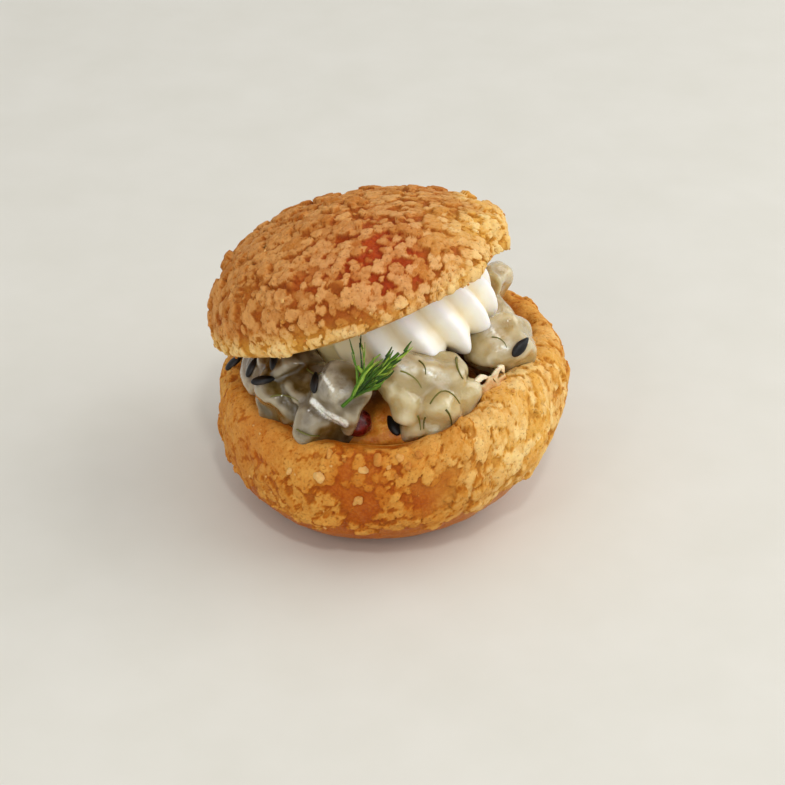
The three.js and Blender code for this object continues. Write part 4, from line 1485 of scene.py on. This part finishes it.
def needles(frond, count, radius, rng, **blade):
    """Fine leaves along a frond that lean off it to all sides and end near its tip."""
    ways = unit(np.gradient(frond, axis=0))
    made = []
    for i in range(count):
        at = round(lerp(1, len(frond) - 2, i / (count - 1)))
        side = unit(np.cross(ways[at], rng.normal(size=3)))
        length = NEEDLE_LENGTH * rng.uniform(*NEEDLE_LENGTHS)
        spread = NEEDLE_SPREAD * rng.uniform(*NEEDLE_SPREADS)
        tip = frond[at] + (ways[at] + side * spread) * length
        middle = (frond[at] + tip) / 2 + side * spread * length * NEEDLE_BOW
        path = arc(frond[at], middle, tip, NEEDLE_STEPS)
        made.append(strand(path, radius, radius * LEAF_TAPER, **blade))
    return made


def brush(stem, rng):
    """Long fine leaves that run along the stem from its fork and bow out towards its tip."""
    ways = unit(np.gradient(stem, axis=0))
    face = np.array(STEM_FACE)
    made = []
    for _ in range(BRUSH_STRANDS):
        start, end = (round(STEM_STEPS * rng.uniform(*ends)) for ends in (BRUSH_FROM, BRUSH_TO))
        aside = unit(np.cross(ways[end], face)) * BRUSH_SPREAD * rng.normal()
        lift = face * rng.uniform(*BRUSH_LIFT)
        middle = (stem[start] + stem[end]) / 2 + BRUSH_BOW * aside + lift
        radius = rng.uniform(*BRUSH_RADIUS)
        path = arc(stem[start], middle, stem[end] + aside + lift, FROND_STEPS)
        made.append(strand(path, radius, radius * LEAF_TAPER, flatness=BLADE_FLATNESS))
    return made


def build_dill(material):
    rng = np.random.default_rng(FROND_SEED)
    stem, (wisps, bundle) = frond_paths()
    parts = [strand(stem, STEM_RADIUS * STEM_START, STEM_RADIUS / 2, STEM_SIDES)]
    for frond in wisps:
        parts.append(strand(frond, FROND_RADIUS, FROND_RADIUS * FROND_TAPER))
        parts += needles(frond, WISP_NEEDLES, NEEDLE_RADIUS, rng)
    for frond in bundle:
        parts.append(strand(frond, FROND_RADIUS, FROND_RADIUS * FROND_TAPER))
        across = unit(np.cross(frond[-1] - frond[0], STEM_FACE) + BLADE_STRAY * rng.normal(size=3))
        parts += needles(frond, BUNDLE_NEEDLES, BLADE_WIDTH, rng, across=across, flatness=BLADE_FLATNESS)
    parts += brush(stem, rng)
    places, faces, owner = join(parts)
    tints = rng.uniform(size=len(parts))
    tints[0] = STEM_TINT
    add_piece("dill_fronds", places, faces, material, "dill", ("dill_sprig",), tint=tints[owner])


def tear_cells(places):
    """Which cells of the tear's sheet are crumb: holes everywhere, and more of them towards its top."""
    rows, columns = TEAR_CELLS
    up = np.tile(np.linspace(0, 1, columns), rows)
    holes = noise(places, TEAR_HOLE_SIZE, TEAR_SEED) - TEAR_RAGGED * (up - 1 / 2)
    return holes.reshape(rows, columns) > TEAR_HOLES


def sheet_faces(crumb, front, back):
    """Both sides of a sheet's chosen cells, and a wall wherever a cell has no neighbour."""
    rows, columns = crumb.shape
    faces = []
    for i, j in np.argwhere(crumb):
        corners = [(i, j), (i + 1, j), (i + 1, j + 1), (i, j + 1)]
        faces.append(tuple(front[corner] for corner in corners))
        faces.append(tuple(back[corner] for corner in reversed(corners)))
        beside = [(i, j - 1), (i + 1, j), (i, j + 1), (i - 1, j)]
        for near, a, b in zip(beside, corners, corners[1:] + corners[:1]):
            inside = 0 <= near[0] < rows and 0 <= near[1] < columns
            if not (inside and crumb[near]):
                faces.append((front[b], front[a], back[a], back[b]))
    return faces


def build_tear(material):
    """A torn edge of pale crumb, full of holes, that stands on the rim."""
    start, end = map(np.array, TEAR_ENDS)
    rows, columns = TEAR_CELLS
    along, up = np.meshgrid(np.linspace(0, 1, rows + 1), np.linspace(0, 1, columns + 1), indexing="ij")
    flat = lerp(start, end, along.reshape(-1, 1)) + up.reshape(-1, 1) * np.array(TEAR_RISE)
    places = flat + TEAR_WAVE * warp(flat, TEAR_WAVE_SIZE, TEAR_SEED)
    depth = unit(np.cross(end - start, TEAR_RISE)) * TEAR_THICKNESS / 2
    corner = flat.reshape(rows + 1, columns + 1, 3)[:-1, :-1].reshape(-1, 3)
    number = np.arange(len(places)).reshape(rows + 1, columns + 1)
    faces = sheet_faces(tear_cells(corner), number, number + len(places))
    both = np.concatenate([places + depth, places - depth])
    used = np.unique(np.concatenate([np.array(face) for face in faces]))
    renumbered = np.zeros(len(both), int)
    renumbered[used] = np.arange(len(used))
    faces = [tuple(renumbered[list(face)].tolist()) for face in faces]
    tint = np.concatenate([up.ravel(), up.ravel()])
    add_piece("torn_crumb", both[used], faces, material, "lower_crust", tint=tint[used])


# Materials


def linear(code):
    """A screen colour, as six hexadecimal digits, in linear light."""
    shares = np.array(list(bytes.fromhex(code))) / COLOUR_RANGE
    curved = ((shares + CURVE_OFFSET) / (1 + CURVE_OFFSET)) ** CURVE_POWER
    return (*np.where(shares <= CURVE_KNEE, shares / CURVE_SLOPE, curved).tolist(), 1.0)


class Finish:
    """A node material under construction: its Principled shader and the nodes that feed it."""

    def __init__(self, name, **constants):
        self.material = bpy.data.materials.new(name)
        self.material.use_nodes = True
        self.tree = self.material.node_tree
        self.shader = self.tree.nodes["Principled BSDF"]
        self.coords = self.tree.nodes.new("ShaderNodeTexCoord").outputs["Object"]
        self.set(**constants)

    def set(self, **sockets):
        """Feeds sockets of the shader. A name has _ for each space."""
        for name, value in sockets.items():
            self.feed(self.shader.inputs[name.replace("_", " ")], value)

    def feed(self, socket, value):
        if isinstance(value, bpy.types.NodeSocket):
            self.tree.links.new(value, socket)
        else:
            socket.default_value = value

    def node(self, kind, inputs, **settings):
        made = self.tree.nodes.new(kind)
        for name, value in settings.items():
            setattr(made, name, value)
        for name, value in inputs.items():
            self.feed(made.inputs[name], value)
        return made

    def attribute(self, name):
        return self.node("ShaderNodeAttribute", {}, attribute_name=name).outputs["Fac"]

    def noise(self, size, detail=3.0, roughness=0.55):
        """Noise with features of a size in millimetres."""
        scale = 1 / (size * METRES)
        inputs = {"Vector": self.coords, "Scale": scale, "Detail": detail, "Roughness": roughness}
        return self.node("ShaderNodeTexNoise", inputs).outputs["Fac"]

    def maths(self, operation, a, b):
        return self.node("ShaderNodeMath", {0: a, 1: b}, operation=operation).outputs[0]

    def weighted(self, *pairs):
        """A sum of values, each times its weight."""
        total = None
        for value, weight in pairs:
            part = self.maths("MULTIPLY", value, weight)
            total = part if total is None else self.maths("ADD", total, part)
        return total

    def span(self, value, low, high, start=0.0, end=1.0):
        """A value from start to end stretched to run from low to high."""
        inputs = {"Value": value, "From Min": start, "From Max": end, "To Min": low, "To Max": high}
        return self.node("ShaderNodeMapRange", inputs).outputs[0]

    def ramp(self, value, *stops):
        made = self.node("ShaderNodeValToRGB", {"Fac": value})
        elements = made.color_ramp.elements
        while len(elements) < len(stops):
            elements.new(1.0)
        for element, (place, code) in zip(elements, stops):
            element.position = place
            element.color = linear(code)
        return made.outputs["Color"]

    def mix(self, share, a, b):
        made = self.node("ShaderNodeMix", {0: share}, data_type="RGBA")
        self.feed(made.inputs[6], a)
        self.feed(made.inputs[7], b)
        return made.outputs[2]

    def tinge(self, share, colour, code):
        return self.mix(share, colour, linear(code))

    def bump(self, height, depth):
        """Bumps of a depth in millimetres under a height from 0 to 1."""
        inputs = {"Height": height, "Distance": depth * METRES, "Strength": 1.0}
        self.set(Normal=self.node("ShaderNodeBump", inputs).outputs[0])

    def blend(self, a, b, share):
        """A share of one value and the rest of another."""
        return self.weighted((a, share), (b, 1 - share))

    def paint(self, colour):
        self.set(Base_Color=colour)
        return self.material


def crust_finish(name, biscuit, ruddy_biscuit, shell, golden_shell, ruddy_shell, cut_face):
    """Biscuit crumb over a glossier shell, in the colours of each part of the crust, with painted shade in
    creases, in pits and towards granule edges.
    """
    finish = Finish(name, **CRUST_SHADER)
    names = ("crumb", "top", "tint", "crease_shade", "fleck", "golden", "ruddy", "inside")
    crumb, top, tint, crease_shade, fleck, golden, ruddy, inside = (finish.attribute(part) for part in names)
    mottle, speckle, hole = (finish.noise(*grain) for grain in (MOTTLE, SPECKLE, PIT))
    pits = finish.span(hole, *PIT_SPAN)
    bare = finish.ramp(finish.blend(mottle, speckle, SHELL_MOTTLE), *shell)
    bare = finish.tinge(finish.maths("MULTIPLY", golden, finish.span(mottle, *GILT_SPAN)), bare, golden_shell)
    reddened = finish.ramp(finish.blend(mottle, speckle, RUDDY_MOTTLE), *ruddy_shell)
    bare = finish.mix(finish.span(ruddy, *RUDDY_SPAN), bare, reddened)
    # The crumb's tone, with painted shade: lighter on granule tops, darker towards their edges
    tone_and_shade = finish.weighted(*zip((top, tint, speckle, fleck, mottle), TONE_AND_SHADE_SHARES))
    plain, gilt, reddish = (finish.ramp(tone_and_shade, *stops) for stops in (biscuit, GOLDEN_BISCUIT, ruddy_biscuit))
    plates = finish.mix(ruddy, finish.mix(golden, plain, gilt), reddish)
    # Painted shade in the creases between plates
    plates = finish.tinge(finish.maths("MULTIPLY", crease_shade, CREASE_SHADE_SHARE), plates, CREASE_SHADE_COLOUR)
    # Painted shade in the small pits
    plates = finish.tinge(pits, plates, PIT_SHADE_COLOUR)
    colour = finish.mix(inside, finish.mix(crumb, bare, plates), finish.ramp(mottle, *cut_face))
    finish.bump(finish.weighted((speckle, 1.0), (pits, PIT_DEPTH)), CRUST_BUMP)
    finish.set(Roughness=finish.span(crumb, *CRUST_ROUGHNESS))
    return finish.paint(colour)


def dice_finish():
    """Wet, half clear flesh: milky in clouds, painted pale at its edges as if light came through them, with a
    milky band and painted highlights along streaks.
    """
    finish = Finish("wet_seafood", **DICE_SHADER)
    tint, edge, streak = (finish.attribute(part) for part in ("tint", "edge", "streak"))
    cloud, fibre = finish.noise(*CLOUD), finish.noise(*FIBRE)
    # Painted glow at edges, with milky clouds
    milk_and_glow = finish.weighted((edge, EDGE_GLOW), (finish.span(cloud, *CLOUD_SPAN), CLOUD_MILK))
    streak = finish.maths("MULTIPLY", streak, finish.span(fibre, *FIBRE_SPAN))
    colour = finish.tinge(milk_and_glow, finish.ramp(tint, *DICE_COLOURS), MILK_AND_GLOW_COLOUR)
    finish.bump(finish.blend(cloud, fibre, CLOUD_BUMP), DICE_BUMP)
    clear = finish.span(finish.maths("MAXIMUM", streak, milk_and_glow), *DICE_CLEARNESS)
    finish.set(Transmission_Weight=clear, Roughness=finish.span(fibre, *DICE_ROUGHNESS))
    # Painted highlights, and the milky band, in near white
    return finish.paint(finish.tinge(streak, colour, BAND_AND_GLINT_COLOUR))


def grained(name, look):
    """A finish with bumps and roughness from its grain, and that grain."""
    finish = Finish(name, **look["shader"])
    grain = finish.noise(*look["grain"])
    finish.bump(grain, look["bump"])
    finish.set(Roughness=finish.span(grain, *look["roughness"]))
    return finish, grain


def tinted_finish(name, look):
    """A grainy finish in which each part of a piece has its own tint."""
    finish, grain = grained(name, look)
    tone = finish.blend(finish.attribute("tint"), grain, look["share"])
    return finish.paint(finish.ramp(tone, *look["colours"]))


def cream_finish():
    finish, smear = grained("piped_cream", CREAM_LOOK)
    # Painted shade in the valleys between the flutes
    tone = finish.blend(finish.attribute("ridge"), smear, CREAM_LOOK["share"])
    colour = finish.ramp(tone, *CREAM_LOOK["colours"])
    # Painted bounce light on the cream's left
    return finish.paint(finish.tinge(finish.attribute("warm"), colour, BOUNCE_CREAM))


def core_finish():
    finish, cloud = grained("filling_mash", MASH_LOOK)
    # Painted shade behind and painted light at the front of the mound
    deep, lit = (finish.ramp(cloud, *stops) for stops in (SHADED_MASH, LIT_MASH))
    return finish.paint(finish.mix(finish.attribute("front"), deep, lit))


def seed_finish():
    finish, grain = grained("black_sesame", SEED_LOOK)
    rim = finish.span(finish.attribute("rim"), *SEED_RIM)
    return finish.paint(finish.ramp(finish.blend(rim, grain, SEED_LOOK["share"]), *SEED_LOOK["colours"]))


def peppercorn_finish():
    finish, vein = grained("red_skin", PEPPERCORN_LOOK)
    return finish.paint(finish.ramp(vein, *PEPPERCORN_LOOK["colours"]))


# Stage


def build_floor():
    finish = Finish("pale_table", Roughness=FLOOR_ROUGHNESS)
    material = finish.paint(finish.ramp(finish.noise(FLOOR_MOTTLE), *FLOOR_COLOURS))
    half = FLOOR_SIZE / 2
    corners = [(-half, -half, 0), (half, -half, 0), (half, half, 0), (-half, half, 0)]
    floor = linked("floor", make_mesh("floor", corners, [(0, 1, 2, 3)], {}))
    floor.data.materials.append(material)


def aimed(name, data, place, aim):
    made = linked(name, data)
    made.location = Vector(place) * METRES
    made.rotation_euler = (Vector(aim) - Vector(place)).to_track_quat("-Z", "Y").to_euler()
    return made


def build_lights():
    for name, light in LIGHTS.items():
        lamp = bpy.data.lights.new(name, "AREA")
        lamp.size = light["size"] * METRES
        lamp.energy = light["power"]
        aimed(name, lamp, light["place"], LIGHT_AIM)
    world = bpy.data.worlds.new("room")
    world.use_nodes = True
    background = world.node_tree.nodes["Background"]
    background.inputs["Color"].default_value = WHITE
    background.inputs["Strength"].default_value = FILL_STRENGTH
    bpy.context.scene.world = world


def build_camera():
    lens = bpy.data.cameras.new("camera")
    lens.lens = LENS
    lens.clip_start = CAMERA_NEAREST * METRES
    bpy.context.scene.camera = aimed("camera", lens, CAMERA_PLACE, CAMERA_AIM)
    bpy.context.scene.view_settings.view_transform = "Standard"


build_camera()
build_lights()
build_floor()
loose_crumb = tinted_finish("loose_crumb", CRUMB_LOOK)
build_hat(crust_finish("hat_craquelin", **HAT_COLOURS), loose_crumb)
shell = build_base(crust_finish("base_craquelin", **BASE_COLOURS), loose_crumb)
build_cream(cream_finish())
heap = build_filling(core_finish(), dice_finish())
build_seeds(heap, shell, seed_finish())
build_threads(heap, tinted_finish("dill_thread", THREAD_LOOK))
build_peppercorn(peppercorn_finish())
build_dill(tinted_finish("dill_green", DILL_LOOK))
build_tear(tinted_finish("torn_crumb", TEAR_LOOK))
